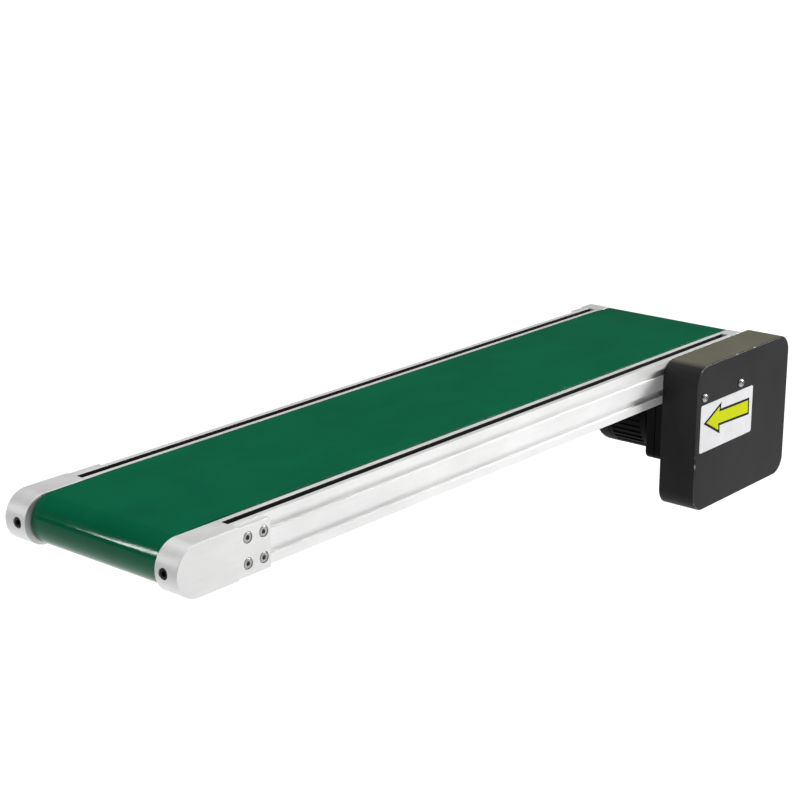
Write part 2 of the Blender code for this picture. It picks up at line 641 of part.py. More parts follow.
def build_cover():
    low = (COVER_LOW.x, COVER_LOW.z)
    high = (COVER_HIGH.x, COVER_HIGH.z)
    cover = extruded("transmission_cover", [rounded_rectangle(low, high, COVER_CORNER)], "XZ",
                     (COVER_LOW.y, COVER_HIGH.y), COVER_PAINT)
    bevel_front_edges(cover, lambda co: co.z > 0, 2 * MM, 2)
    inner_low = (low[0] + COVER_WALL, low[1] + COVER_WALL)
    inner_high = (high[0] - COVER_WALL, high[1] - COVER_WALL)
    inside = extruded("cover_inside", [rounded_rectangle(inner_low, inner_high, COVER_CORNER - COVER_WALL)], "XZ",
                      (COVER_LOW.y + COVER_WALL, COVER_HIGH.y + MM), None)
    cut(cover, inside)
    front = COVER_LOW.y
    for number, x in enumerate(COVER_SCREW_XS, 1):
        z = LOWER_GROOVE_Z
        cut(cover, rod(f"cover_screw_hole_{number}", M5_HOLE, (x, front - MM, z),
                       (x, front + COVER_WALL + MM, z), None, BOLT_SEGMENTS))
        build_pan_screw(f"cover_screw_{number}", (x, front - 0.1 * MM, z))
    extruded("direction_label", [rounded_rectangle(LABEL_LOW, LABEL_HIGH, LABEL_CORNER, 4)], "XZ",
             (front - 0.1 * MM, front - 0.1 * MM - LABEL_THICKNESS), LABEL_PRINT)


def build_pan_screw(name, seat):
    """An M5 pan head screw with a cross recess, driven in along +Y."""
    head = 5.2 * MM
    height = 3.4 * MM
    length = 12 * MM
    shank = M5["shank"]
    dome = [(head * math.sin(angle), height * math.cos(angle)) for angle in (0, 0.45, 0.85, 1.2)]
    profile = dome + [(head, 0.6 * MM), (head, 0), (shank, 0), (shank, -length), (0, -length)]
    screw = turned(name, profile, seat, (0, -1, 0), SCREW_STEEL, BOLT_SEGMENTS)
    top = Vector(seat) - Vector((0, height, 0))
    recess = Vector((0, 1.6 * MM, 0))
    long_arm = 2.6 * MM
    short_arm = 0.55 * MM
    for suffix, half in (("flat", Vector((long_arm, 0, short_arm))), ("upright", Vector((short_arm, 0, long_arm)))):
        cut(screw, box(f"{name}_recess_{suffix}", top - half - Vector((0, MM, 0)), top + half + recess, None))


# Gear motor

def build_gearbox():
    half = GEARBOX_SIDE / 2
    front = PLATE_BACK_Y + GAP
    inner_half = half - GEARBOX_WALL
    wall_y = front + GEARBOX_FRONT_WALL
    housing = extruded("gearbox_housing", [rounded_rectangle((-half, -half), (half, half), 8 * MM)], "XZ",
                       (front, GEARBOX_REAR_Y), MOTOR_PAINT, (MOTOR_X, MOTOR_Z))
    cavity_loop = rounded_rectangle((-inner_half, -inner_half), (inner_half, inner_half), 14 * MM)
    cavity = extruded("gearbox_cavity", [cavity_loop], "XZ", (wall_y, GEARBOX_REAR_Y + MM), None,
                      (MOTOR_X, MOTOR_Z))
    idler_x, idler_z = idler_place()
    cut(housing, cavity,
        rod("output_bore", SHAFT_RADIUS + RUNNING_GAP, (OUTPUT_X, front - MM, OUTPUT_Z),
            (OUTPUT_X, wall_y + MM, OUTPUT_Z), None),
        rod("idler_bore", IDLER_SHAFT_RADIUS + RUNNING_GAP, (idler_x, wall_y + MM, idler_z),
            (idler_x, wall_y - 5 * MM, idler_z), None))
    half_pitch = GEARBOX_SCREW_PITCH / 2
    for row, z in (("lower", MOTOR_Z - half_pitch), ("upper", MOTOR_Z + half_pitch)):
        for number, x in enumerate((MOTOR_X - half_pitch, MOTOR_X + half_pitch), 1):
            cut(housing, rod(f"gearbox_thread_{row}_{number}", M6_HOLE, (x, front - MM, z),
                             (x, wall_y - 0.5 * MM, z), None, BOLT_SEGMENTS))
            seat_y = PLATE_FRONT_Y - GAP
            socket_screw(f"gearbox_screw_{row}_{number}", M6, M6["tall_head"], (x, seat_y, z), (0, -1, 0),
                         abs(wall_y - 1.2 * MM - seat_y), BLACK_STEEL)


def idler_place():
    """The point that is one first-stage distance from the rotor and one second-stage from the output."""
    from_rotor = GEAR_MODULE * (PINION_TEETH + WHEEL_TEETH) / 2
    from_output = GEAR_MODULE * (PINION_TEETH + OUTPUT_TEETH) / 2
    up = (from_rotor ** 2 - from_output ** 2 + OUTPUT_OFFSET_Z ** 2) / (2 * OUTPUT_OFFSET_Z)
    across = math.sqrt(from_rotor ** 2 - up ** 2)
    return MOTOR_X + across, MOTOR_Z + up


def build_motor():
    axis = (MOTOR_X, 0, MOTOR_Z)
    along = (0, 1, 0)
    bore = ROTOR_SHAFT_RADIUS + RUNNING_GAP
    inner = MOTOR_RADIUS - 6 * MM
    front = GEARBOX_REAR_Y + GAP
    web = front + 7 * MM
    rear = MOTOR_SHELL_REAR_Y
    shell = turned("motor_body", [(bore, front), (bore, web), (inner, web), (inner, rear),
                                  (MOTOR_RADIUS, rear), (MOTOR_RADIUS, front)], axis, along, MOTOR_PAINT, 32,
                   closed=True)
    idler_x, idler_z = idler_place()
    cut(shell, rod("idler_rear_bore", IDLER_SHAFT_RADIUS + RUNNING_GAP, (idler_x, front - MM, idler_z),
                   (idler_x, front + 4 * MM, idler_z), None))

    cap_front = rear + GAP
    cap_edge = 9 * MM
    rounded = [(MOTOR_RADIUS - cap_edge + cap_edge * math.sin(angle), MOTOR_REAR_Y - cap_edge * (1 - math.cos(angle)))
               for angle in (0, math.pi / 8, math.pi / 4, 3 * math.pi / 8, math.pi / 2)]
    profile = [(0, MOTOR_REAR_Y)] + rounded
    profile += [(MOTOR_RADIUS, cap_front), (inner, cap_front), (inner - 5 * MM, MOTOR_REAR_Y - 5 * MM),
                (bore + 5 * MM, MOTOR_REAR_Y - 5 * MM), (bore + 5 * MM, cap_front + 2 * MM), (bore, cap_front + 2 * MM),
                (bore, MOTOR_REAR_Y - 4 * MM), (0, MOTOR_REAR_Y - 4 * MM)]
    turned("motor_rear_cap", profile, axis, along, MOTOR_PAINT, 32)

    low, high = STACK_Y
    outer = inner - GAP
    gap = ROTOR_RADIUS + 0.4 * MM
    turned("motor_stator", [(gap, low), (gap, high), (gap + 2 * MM, high + WINDING_LENGTH),
                            (outer - 3 * MM, high + WINDING_LENGTH), (outer, high), (outer, low),
                            (outer - 3 * MM, low - WINDING_LENGTH), (gap + 2 * MM, low - WINDING_LENGTH)],
           axis, along, COPPER, closed=True)


def direction_angle(start, end):
    return math.atan2(end[1] - start[1], end[0] - start[0])


def build_gear_train():
    """Rotor pinion, compound idler and output gear, set in mesh at rest."""
    motor = (MOTOR_X, MOTOR_Z)
    idler = idler_place()
    output = (OUTPUT_X, OUTPUT_Z)
    to_idler = direction_angle(motor, idler)
    to_output = direction_angle(idler, output)

    shaft = ROTOR_SHAFT_RADIUS
    rotor = turned("motor_rotor", [(0, ROTOR_REAR_Y), (shaft, ROTOR_REAR_Y), (shaft, STACK_Y[1]),
                                   (ROTOR_RADIUS, STACK_Y[1]), (ROTOR_RADIUS, STACK_Y[0]), (shaft, STACK_Y[0]),
                                   (shaft, STAGE_ONE_Y[1] + 2 * MM),
                                   (4 * MM, STAGE_ONE_Y[1] + 2 * MM), (4 * MM, STAGE_ONE_Y[0] - 2 * MM),
                                   (0, STAGE_ONE_Y[0] - 2 * MM)],
                   (MOTOR_X, 0, MOTOR_Z), (0, 1, 0), MACHINED_STEEL)
    pinion = extruded("rotor_pinion", [gear_outline(PINION_TEETH, to_idler)], "XZ",
                      (STAGE_ONE_Y[0] - MM, STAGE_ONE_Y[1] + MM), None, motor)
    join(rotor, pinion)

    front_end = PLATE_BACK_Y + GAP + GEARBOX_FRONT_WALL - 4.6 * MM
    rear_end = GEARBOX_REAR_Y + GAP + 3.6 * MM
    idler_gear = turned("idler_gear", [(0, rear_end), (IDLER_SHAFT_RADIUS, rear_end),
                                       (IDLER_SHAFT_RADIUS, front_end), (0, front_end)],
                        (idler[0], 0, idler[1]), (0, 1, 0), MACHINED_STEEL)
    wheel_phase = to_idler + math.pi + math.pi / WHEEL_TEETH
    join(idler_gear,
         extruded("idler_wheel", [gear_outline(WHEEL_TEETH, wheel_phase)], "XZ", STAGE_ONE_Y, None, idler),
         extruded("idler_pinion", [gear_outline(PINION_TEETH, to_output)], "XZ",
                  (STAGE_TWO_Y[0] - MM, STAGE_ONE_Y[0] + MM), None, idler))

    bore = arc((0, 0), SHAFT_RADIUS + RUNNING_GAP, 0, 345, 23)
    output_phase = to_output + math.pi + math.pi / OUTPUT_TEETH
    extruded("output_gear", [gear_outline(OUTPUT_TEETH, output_phase), bore], "XZ", STAGE_TWO_Y, MACHINED_STEEL,
             output)
    edge = 0.6 * MM
    front, rear = OUTPUT_SHAFT_Y
    turned("output_shaft", [(0, rear), (SHAFT_RADIUS - edge, rear), (SHAFT_RADIUS, rear - edge),
                            (SHAFT_RADIUS, front + edge), (SHAFT_RADIUS - edge, front), (0, front)],
           (OUTPUT_X, 0, OUTPUT_Z), (0, 1, 0), MACHINED_STEEL)


def build_timing_drive():
    """Two equal pulleys and the toothed belt round them, with one tooth of each pulley along their line."""
    output = (OUTPUT_X, OUTPUT_Z)
    roller = (DRIVE_ROLLER_X, ROLLER_Z)
    phase = direction_angle(output, roller)
    low, high = PULLEY_Y
    for name, center in (("drive_pulley", output), ("driven_pulley", roller)):
        bore = SHAFT_RADIUS + RUNNING_GAP
        flange = PULLEY_FLANGE_RADIUS
        core = PULLEY_ROOT_RADIUS - 0.5 * MM
        pulley = turned(name, [(bore, low), (bore, high), (flange, high), (flange, high - PULLEY_FLANGE),
                               (core, high - PULLEY_FLANGE), (core, low + PULLEY_FLANGE),
                               (flange, low + PULLEY_FLANGE), (flange, low)],
                        (center[0], 0, center[1]), (0, 1, 0), ALUMINIUM, closed=True)
        outline = toothed_outline(PULLEY_TEETH, PULLEY_ROOT_RADIUS, PULLEY_TIP_RADIUS, 1.7 * MM, 1.3 * MM, phase)
        hollow = arc((0, 0), PULLEY_ROOT_RADIUS - 3 * MM, 0, 345, 23)
        teeth = extruded(name + "_teeth", [outline, hollow], "XZ",
                         (low + PULLEY_FLANGE / 2, high - PULLEY_FLANGE / 2), None, center)
        join(pulley, teeth)
    inner = PULLEY_TIP_RADIUS + GAP
    loops = [belt_loop(output, roller, inner + TIMING_BELT_THICKNESS), belt_loop(output, roller, inner)]
    span = (low + PULLEY_FLANGE + 0.4 * MM, high - PULLEY_FLANGE - 0.4 * MM)
    extruded("timing_belt", loops, "XZ", span, BLACK_RUBBER)


build_rails()
build_bed_and_ties()
build_tail_blocks()
build_tail_roller()
build_drive_roller()
build_back_plate(build_drive_blocks())
build_cover()
build_conveyor_belt()
build_gearbox()
build_motor()
build_gear_train()
build_timing_drive()
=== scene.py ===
"""Looks for the belt conveyor section: finer meshes, procedural materials, soft studio light.

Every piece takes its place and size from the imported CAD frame. Units are metres, +Z is up.
The belt runs along X, and the transmission case is on the -Y side of the +X end.
"""
import math

import bmesh
import bpy
from mathutils import Matrix, Vector


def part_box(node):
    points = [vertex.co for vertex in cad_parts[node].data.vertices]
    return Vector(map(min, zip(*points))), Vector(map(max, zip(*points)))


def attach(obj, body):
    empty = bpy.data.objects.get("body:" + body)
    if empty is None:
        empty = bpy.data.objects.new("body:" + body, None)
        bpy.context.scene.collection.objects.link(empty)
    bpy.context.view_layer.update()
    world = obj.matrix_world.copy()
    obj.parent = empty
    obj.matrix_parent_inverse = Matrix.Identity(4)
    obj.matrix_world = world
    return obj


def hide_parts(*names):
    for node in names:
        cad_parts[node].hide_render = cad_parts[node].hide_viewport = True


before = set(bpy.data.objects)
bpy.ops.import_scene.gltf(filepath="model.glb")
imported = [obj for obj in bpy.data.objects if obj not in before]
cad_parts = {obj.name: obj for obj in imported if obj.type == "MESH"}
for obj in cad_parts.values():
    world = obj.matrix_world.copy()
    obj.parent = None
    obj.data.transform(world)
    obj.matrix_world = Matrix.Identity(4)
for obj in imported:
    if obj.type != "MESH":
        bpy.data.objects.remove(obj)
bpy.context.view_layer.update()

MM = 0.001
SIDES = {"left": 1, "right": -1}


# Meshes

def new_piece(name, mesh_builder):
    """An object whose mesh is what mesh_builder left in its bmesh."""
    mesh = bpy.data.meshes.new(name)
    mesh_builder.to_mesh(mesh)
    mesh_builder.free()
    piece = bpy.data.objects.new(name, mesh)
    bpy.context.scene.collection.objects.link(piece)
    return piece


def arc(center, radius, start, end, steps):
    """Points on an arc. Angles are in degrees from +across towards +up."""
    points = []
    for step in range(steps + 1):
        angle = math.radians(start + (end - start) * step / steps)
        points.append((center[0] + radius * math.cos(angle), center[1] + radius * math.sin(angle)))
    return points


def rounded_rectangle(low, high, radius, steps=12):
    points = arc((high[0] - radius, high[1] - radius), radius, 0, 90, steps)
    points += arc((low[0] + radius, high[1] - radius), radius, 90, 180, steps)
    points += arc((low[0] + radius, low[1] + radius), radius, 180, 270, steps)
    points += arc((high[0] - radius, low[1] + radius), radius, 270, 360, steps)
    return points


def belt_loop(first, second, radius, lifted, steps=48):
    """The outline round two equal circles, with the lifted points in the run from second back to first."""
    points = arc(second, radius, -90, 90, steps)
    points += lifted
    points += arc(first, radius, 90, 270, steps)
    return points


def round_corners(points, radius, steps=2):
    """The same closed outline with a small arc in place of each corner."""
    rounded = []
    count = len(points)
    for index, corner in enumerate(points):
        corner = Vector(corner)
        before = (Vector(points[index - 1]) - corner)
        after = (Vector(points[(index + 1) % count]) - corner)
        reach = min(radius, before.length * 0.45, after.length * 0.45)
        start = corner + before.normalized() * reach
        end = corner + after.normalized() * reach
        for step in range(steps + 1):
            t = step / steps
            rounded.append(tuple(start * (1 - t) ** 2 + corner * 2 * t * (1 - t) + end * t ** 2))
    return rounded


def round_run(points, radius, steps=6):
    """The inner points of an open run, each with a small arc in its place."""
    rounded = []
    for before, corner, after in zip(points, points[1:], points[2:]):
        corner = Vector(corner)
        start = corner + (Vector(before) - corner).normalized() * radius
        end = corner + (Vector(after) - corner).normalized() * radius
        for step in range(steps + 1):
            t = step / steps
            rounded.append(tuple(start * (1 - t) ** 2 + corner * 2 * t * (1 - t) + end * t ** 2))
    return rounded


def to_world(axis, across, up, along):
    """A point of a prism's section: X prisms have sections in YZ, and Y prisms in XZ."""
    return Vector((along, across, up)) if axis == "X" else Vector((across, along, up))


def prism(name, outline, axis, span, low_edge=0.0, high_edge=0.0, segments=3):
    """An outline extruded along an axis over span, with its rims rounded by low_edge and high_edge."""
    low, high = min(span), max(span)
    builder = bmesh.new()
    rims = []
    for along in (low, high):
        rims.append([builder.verts.new(to_world(axis, across, up, along)) for across, up in outline])
    caps = [builder.faces.new(rim) for rim in rims]
    count = len(outline)
    for index in range(count):
        after = (index + 1) % count
        builder.faces.new((rims[0][index], rims[0][after], rims[1][after], rims[1][index]))
    bmesh.ops.recalc_face_normals(builder, faces=builder.faces)
    for cap, edge in zip(caps, (low_edge, high_edge)):
        if edge:
            bmesh.ops.bevel(builder, geom=list(cap.edges), offset=edge, segments=segments, profile=0.5,
                            affect="EDGES", clamp_overlap=False)
    return new_piece(name, builder)


def ring_prism(name, outer, inner, axis, span):
    """A loop with a section of constant thickness: outer and inner outlines have matching points."""
    low, high = min(span), max(span)
    builder = bmesh.new()
    loops = {}
    for kind, outline in (("outer", outer), ("inner", inner)):
        for place, along in (("low", low), ("high", high)):
            loops[kind, place] = [builder.verts.new(to_world(axis, a, u, along)) for a, u in outline]
    sheets = ((("outer", "low"), ("outer", "high")), (("inner", "high"), ("inner", "low")),
              (("outer", "high"), ("inner", "high")), (("inner", "low"), ("outer", "low")))
    count = len(outer)
    for first, second in sheets:
        for index in range(count):
            after = (index + 1) % count
            builder.faces.new((loops[first][index], loops[first][after], loops[second][after],
                               loops[second][index]))
    bmesh.ops.recalc_face_normals(builder, faces=builder.faces)
    return new_piece(name, builder)


def lathe(name, profile, center, direction, steps=64, closed=False):
    """A profile of (radius, height) points turned about the line through center along direction."""
    turn = Vector(direction).to_track_quat("Z", "Y").to_matrix().to_4x4()
    place = Matrix.Translation(Vector(center)) @ turn
    builder = bmesh.new()
    rings = []
    for radius, height in profile:
        if radius < 1e-7:
            rings.append([builder.verts.new(place @ Vector((0, 0, height)))])
            continue
        ring = []
        for step in range(steps):
            angle = 2 * math.pi * step / steps
            point = Vector((radius * math.cos(angle), radius * math.sin(angle), height))
            ring.append(builder.verts.new(place @ point))
        rings.append(ring)
    pairs = list(zip(rings, rings[1:]))
    if closed:
        pairs.append((rings[-1], rings[0]))
    for first, second in pairs:
        for step in range(steps):
            after = (step + 1) % steps
            corners = [first[step % len(first)], first[after % len(first)], second[after % len(second)],
                       second[step % len(second)]]
            unique = list(dict.fromkeys(corners))
            if len(unique) > 2:
                builder.faces.new(unique)
    bmesh.ops.recalc_face_normals(builder, faces=builder.faces)
    return new_piece(name, builder)


def cylinder(name, radius, start, end, steps=32):
    start = Vector(start)
    end = Vector(end)
    height = (end - start).length
    return lathe(name, [(0, 0), (radius, 0), (radius, height), (0, height)], start, end - start, steps)


def settle(piece):
    """Replace a piece's mesh with its evaluated one and drop its modifiers."""
    graph = bpy.context.evaluated_depsgraph_get()
    mesh = bpy.data.meshes.new_from_object(piece.evaluated_get(graph))
    old = piece.data
    piece.modifiers.clear()
    piece.data = mesh
    bpy.data.meshes.remove(old)


def combine(target, tools, operation="DIFFERENCE"):
    """Cut tools from target, or join them to it, and remove them."""
    for tool in tools:
        boolean = target.modifiers.new("combine", "BOOLEAN")
        boolean.operation = operation
        boolean.object = tool
        boolean.solver = "EXACT"
        settle(target)
        bpy.data.objects.remove(tool, do_unlink=True)


def shade(piece, angle=32):
    """Smooth shading, with edges sharper than angle kept crisp."""
    limit = math.radians(angle)
    builder = bmesh.new()
    builder.from_mesh(piece.data)
    bmesh.ops.dissolve_degenerate(builder, edges=builder.edges, dist=1e-7)
    for face in builder.faces:
        face.smooth = True
    for edge in builder.edges:
        edge.smooth = edge.is_manifold and edge.calc_face_angle(0) < limit
    builder.to_mesh(piece.data)
    builder.free()
    weighted = piece.modifiers.new("weighted_normals", "WEIGHTED_NORMAL")
    weighted.keep_sharp = True


def place_piece(piece, material, body, nodes=(), angle=32):
    """Give a finished piece its shading, material and body, and hide the CAD pieces it replaces."""
    shade(piece, angle)
    piece.data.materials.clear()
    piece.data.materials.append(material)
    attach(piece, body)
    if nodes:
        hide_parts(*nodes)
    return piece


# Materials

class Shader:
    """A small builder for one Principled material in object coordinates."""

    def __init__(self, name, color, roughness, metallic=0.0):
        self.material = bpy.data.materials.new(name)
        self.material.use_nodes = True
        self.tree = self.material.node_tree
        self.surface = self.tree.nodes["Principled BSDF"]
        self.set("Base Color", (*color, 1))
        self.set("Roughness", roughness)
        self.set("Metallic", metallic)
        self.coordinates = self.tree.nodes.new("ShaderNodeTexCoord").outputs["Object"]

    def set(self, socket, value):
        self.surface.inputs[socket].default_value = value

    def link(self, output, target):
        self.tree.links.new(output, target)

    def scaled(self, scale):
        mapping = self.tree.nodes.new("ShaderNodeMapping")
        mapping.inputs["Scale"].default_value = scale
        self.link(self.coordinates, mapping.inputs["Vector"])
        return mapping.outputs["Vector"]

    def noise(self, scale, detail=3.0, roughness=0.55, distortion=0.0):
        texture = self.tree.nodes.new("ShaderNodeTexNoise")
        texture.inputs["Scale"].default_value = 1.0
        texture.inputs["Detail"].default_value = detail
        texture.inputs["Roughness"].default_value = roughness
        texture.inputs["Distortion"].default_value = distortion
        self.link(self.scaled(scale), texture.inputs["Vector"])
        return texture.outputs["Fac"]

    def cells(self, scale, feature="F1"):
        texture = self.tree.nodes.new("ShaderNodeTexVoronoi")
        texture.inputs["Scale"].default_value = 1.0
        texture.feature = feature
        self.link(self.scaled(scale), texture.inputs["Vector"])
        return texture.outputs["Distance"]

    def remap(self, value, low, high, out_low, out_high):
        node = self.tree.nodes.new("ShaderNodeMapRange")
        limits = {"From Min": low, "From Max": high, "To Min": out_low, "To Max": out_high}
        for socket, number in limits.items():
            node.inputs[socket].default_value = number
        self.link(value, node.inputs["Value"])
        return node.outputs["Result"]

    def math(self, operation, first, second):
        node = self.tree.nodes.new("ShaderNodeMath")
        node.operation = operation
        for socket, value in zip(node.inputs, (first, second)):
            if isinstance(value, (int, float)):
                socket.default_value = value
            else:
                self.link(value, socket)
        return node.outputs["Value"]

    def mix(self, factor, first, second):
        """A colour between first and second, each a colour or a socket."""
        node = self.tree.nodes.new("ShaderNodeMix")
        node.data_type = "RGBA"
        self.link(factor, node.inputs["Factor"])
        for socket, value in ((node.inputs[6], first), (node.inputs[7], second)):
            if isinstance(value, tuple):
                socket.default_value = (*value, 1)
            else:
                self.link(value, socket)
        return node.outputs[2]

    def color(self, output):
        self.link(output, self.surface.inputs["Base Color"])

    def roughness(self, output):
        self.link(output, self.surface.inputs["Roughness"])

    def bump(self, height, distance, strength=1.0):
        node = self.tree.nodes.new("ShaderNodeBump")
        node.inputs["Strength"].default_value = strength
        node.inputs["Distance"].default_value = distance
        self.link(height, node.inputs["Height"])
        normal = self.surface.inputs["Normal"]
        if normal.is_linked:
            self.link(normal.links[0].from_socket, node.inputs["Normal"])
        self.link(node.outputs["Normal"], normal)


def brushed_aluminium(name, color, base_roughness, metallic, grain):
    """Clear anodised metal with fine lines along X. grain is the lines' share of the roughness."""
    shader = Shader(name, color, base_roughness, metallic)
    lines = shader.noise((14, 1500, 1500), 4.0, 0.6)
    cloud = shader.noise((18, 30, 30), 3.0, 0.5)
    speckle = shader.noise((700, 700, 700), 2.0, 0.5)
    low = base_roughness - grain
    high = base_roughness + grain
    mixed = shader.math("ADD", shader.math("MULTIPLY", lines, 0.6), shader.math("MULTIPLY", cloud, 0.4))
    shader.roughness(shader.remap(mixed, 0.3, 0.7, low, high))
    dark = tuple(channel * 0.90 for channel in color)
    tone = shader.math("ADD", shader.math("MULTIPLY", lines, 0.45), shader.math("MULTIPLY", cloud, 0.55))
    shader.color(shader.mix(shader.remap(tone, 0.35, 0.65, 0, 1), dark, color))
    shader.bump(lines, 0.00002)
    shader.bump(speckle, 0.00001)
    return shader.material


def glossy_belt(name, color):
    """Smooth PVC: faint mottling, rub marks along the run and a very fine skin texture."""
    shader = Shader(name, color, 0.09)
    shader.set("Specular IOR Level", 0.22)
    cloud = shader.noise((9, 14, 14), 4.0, 0.55, 0.6)
    rubs = shader.noise((5, 130, 130), 2.0, 0.5)
    skin = shader.noise((900, 900, 900), 2.0, 0.5)
    tone = shader.math("ADD", shader.math("MULTIPLY", cloud, 0.88), shader.math("MULTIPLY", rubs, 0.12))
    lighter = tuple(channel * 1.07 + 0.0005 for channel in color)
    darker = tuple(channel * 0.93 for channel in color)
    shader.color(shader.mix(shader.remap(tone, 0.35, 0.65, 0, 1), darker, lighter))
    shader.roughness(shader.remap(cloud, 0.35, 0.65, 0.07, 0.11))
    shader.bump(skin, 0.00002)
    shader.bump(cloud, 0.0004, 0.25)
    return shader.material


def powder_coat(name, color, roughness, gloss, wear=0.0, painted_top_sheen=None):
    """Satin paint with orange peel. wear adds small bare chips and a lighter tone that is partly rubbed
    wear and partly a painted edge highlight. The last argument, when given, is a painted sheen: a lighter
    colour painted on level, upward faces in place of their reflection.
    """
    shader = Shader(name, color, roughness)
    shader.set("Specular IOR Level", gloss)
    peel_noise = shader.noise((420, 420, 420), 2.0, 0.5)
    grain = shader.noise((1600, 1600, 1600), 2.0, 0.5)
    cloud = shader.noise((11, 11, 11), 4.0, 0.55)
    dusty = tuple(channel * 1.25 + 0.004 for channel in color)
    deep = tuple(channel * 0.86 for channel in color)
    tone = shader.mix(shader.remap(cloud, 0.35, 0.65, 0, 1), deep, dusty)
    if wear:
        chips = shader.remap(shader.noise((95, 95, 95), 3.0, 0.6), 0.60, 0.66, 0, wear)
        # Lighter tone over the whole face: partly rubbed wear, partly a painted edge highlight.
        rubbed_and_highlight = shader.remap(shader.noise((30, 30, 30), 2.0, 0.5), 0.4, 0.7, 0.1, 0.5)
        tone = shader.mix(rubbed_and_highlight, tone, tuple(channel * 3 + 0.02 for channel in color))
        tone = shader.mix(chips, tone, (0.42, 0.42, 0.40))
    # Painted sheen: level, upward faces get a lighter colour in place of their reflection, with patchy
    # strength.
    if painted_top_sheen:
        up = shader.tree.nodes.new("ShaderNodeSeparateXYZ")
        shader.link(shader.coordinates.node.outputs["Normal"], up.inputs["Vector"])
        level_faces = shader.remap(up.outputs["Z"], 0.86, 0.998, 0, 1)
        patchy = shader.remap(shader.noise((16, 16, 16), 4.0, 0.55), 0.3, 0.7, 0.84, 1.0)
        tone = shader.mix(shader.math("MULTIPLY", level_faces, patchy), tone, painted_top_sheen)
    shader.color(tone)
    shader.roughness(shader.remap(cloud, 0.3, 0.7, roughness - 0.06, roughness + 0.06))
    shader.bump(peel_noise, 0.00005, 0.6)
    shader.bump(grain, 0.00001, 0.5)
    return shader.material


def metal(name, color, roughness, scale=(260, 260, 260), depth=0.00001):
    """Plated or ground metal with small patches of tone and roughness."""
    shader = Shader(name, color, roughness, 1.0)
    patch = shader.noise(scale, 3.0, 0.6)
    fine = shader.noise((1400, 1400, 1400), 2.0, 0.5)
    shader.color(shader.mix(shader.remap(patch, 0.35, 0.65, 0, 1), tuple(c * 0.82 for c in color), color))
    shader.roughness(shader.remap(patch, 0.3, 0.7, roughness - 0.07, roughness + 0.08))
    shader.bump(fine, depth)
    return shader.material


def spangled_zinc(name, color):
    shader = Shader(name, color, 0.38, 0.9)
    flakes = shader.cells((140, 140, 140))
    cloud = shader.noise((60, 60, 60), 3.0, 0.6)
    shader.color(shader.mix(shader.remap(flakes, 0.1, 0.8, 0, 1), tuple(c * 0.85 for c in color), color))
    shader.roughness(shader.remap(cloud, 0.3, 0.7, 0.30, 0.48))
    return shader.material


def fabric_ply(name, color):
    """Woven belt carcass: two crossed sets of yarns."""
    shader = Shader(name, color, 0.85)
    warp = shader.tree.nodes.new("ShaderNodeTexWave")
    warp.bands_direction = "X"
    weft = shader.tree.nodes.new("ShaderNodeTexWave")
    weft.bands_direction = "Y"
    for wave in (warp, weft):
        wave.inputs["Scale"].default_value = 260
        wave.inputs["Distortion"].default_value = 0.6
        shader.link(shader.coordinates, wave.inputs["Vector"])
    weave = shader.math("MULTIPLY", warp.outputs["Fac"], weft.outputs["Fac"])
    shader.color(shader.mix(weave, tuple(c * 0.6 for c in color), color))
    shader.bump(weave, 0.0001)
    return shader.material


def film(name, color, roughness):
    """Printed film: an even ink or plain ground with a faint print grain."""
    shader = Shader(name, color, roughness)
    shader.set("Specular IOR Level", 0.05)
    cloud = shader.noise((45, 45, 45), 3.0, 0.5)
    grain = shader.noise((2200, 2200, 2200), 1.0, 0.5)
    shader.color(shader.mix(shader.remap(cloud, 0.35, 0.65, 0, 1), tuple(c * 0.94 for c in color), color))
    shader.bump(grain, 0.000004)
    return shader.material


def rubber(name, color):
    shader = Shader(name, color, 0.75)
    shader.set("Specular IOR Level", 0.25)
    grain = shader.noise((500, 500, 500), 3.0, 0.6)
    shader.color(shader.mix(grain, tuple(c * 0.7 for c in color), tuple(c * 1.4 for c in color)))
    shader.bump(grain, 0.00004)
    return shader.material


def winding(name, color):
    """Lacquered copper wire, wound side by side."""
    shader = Shader(name, color, 0.35, 1.0)
    wave = shader.tree.nodes.new("ShaderNodeTexWave")
    wave.inputs["Scale"].default_value = 320
    wave.inputs["Distortion"].default_value = 1.0
    shader.link(shader.coordinates, wave.inputs["Vector"])
    shader.color(shader.mix(wave.outputs["Fac"], tuple(c * 0.45 for c in color), color))
    shader.bump(wave.outputs["Fac"], 0.0002)
    return shader.material


RAIL_METAL = brushed_aluminium("rail_aluminium", (0.94, 0.94, 0.935), 0.46, 0.5, 0.06)
BLOCK_METAL = brushed_aluminium("block_aluminium", (0.86, 0.86, 0.855), 0.54, 0.72, 0.05)
# Painted shade: near-black for the inside of the rails' top slots
SLOT_PAINTED_SHADE = rubber("slot_painted_shade", (0.006, 0.006, 0.006))
BELT_SKIN = glossy_belt("green_belt_pvc", (0.002, 0.118, 0.054))
BELT_PLY = fabric_ply("belt_fabric", (0.55, 0.55, 0.50))
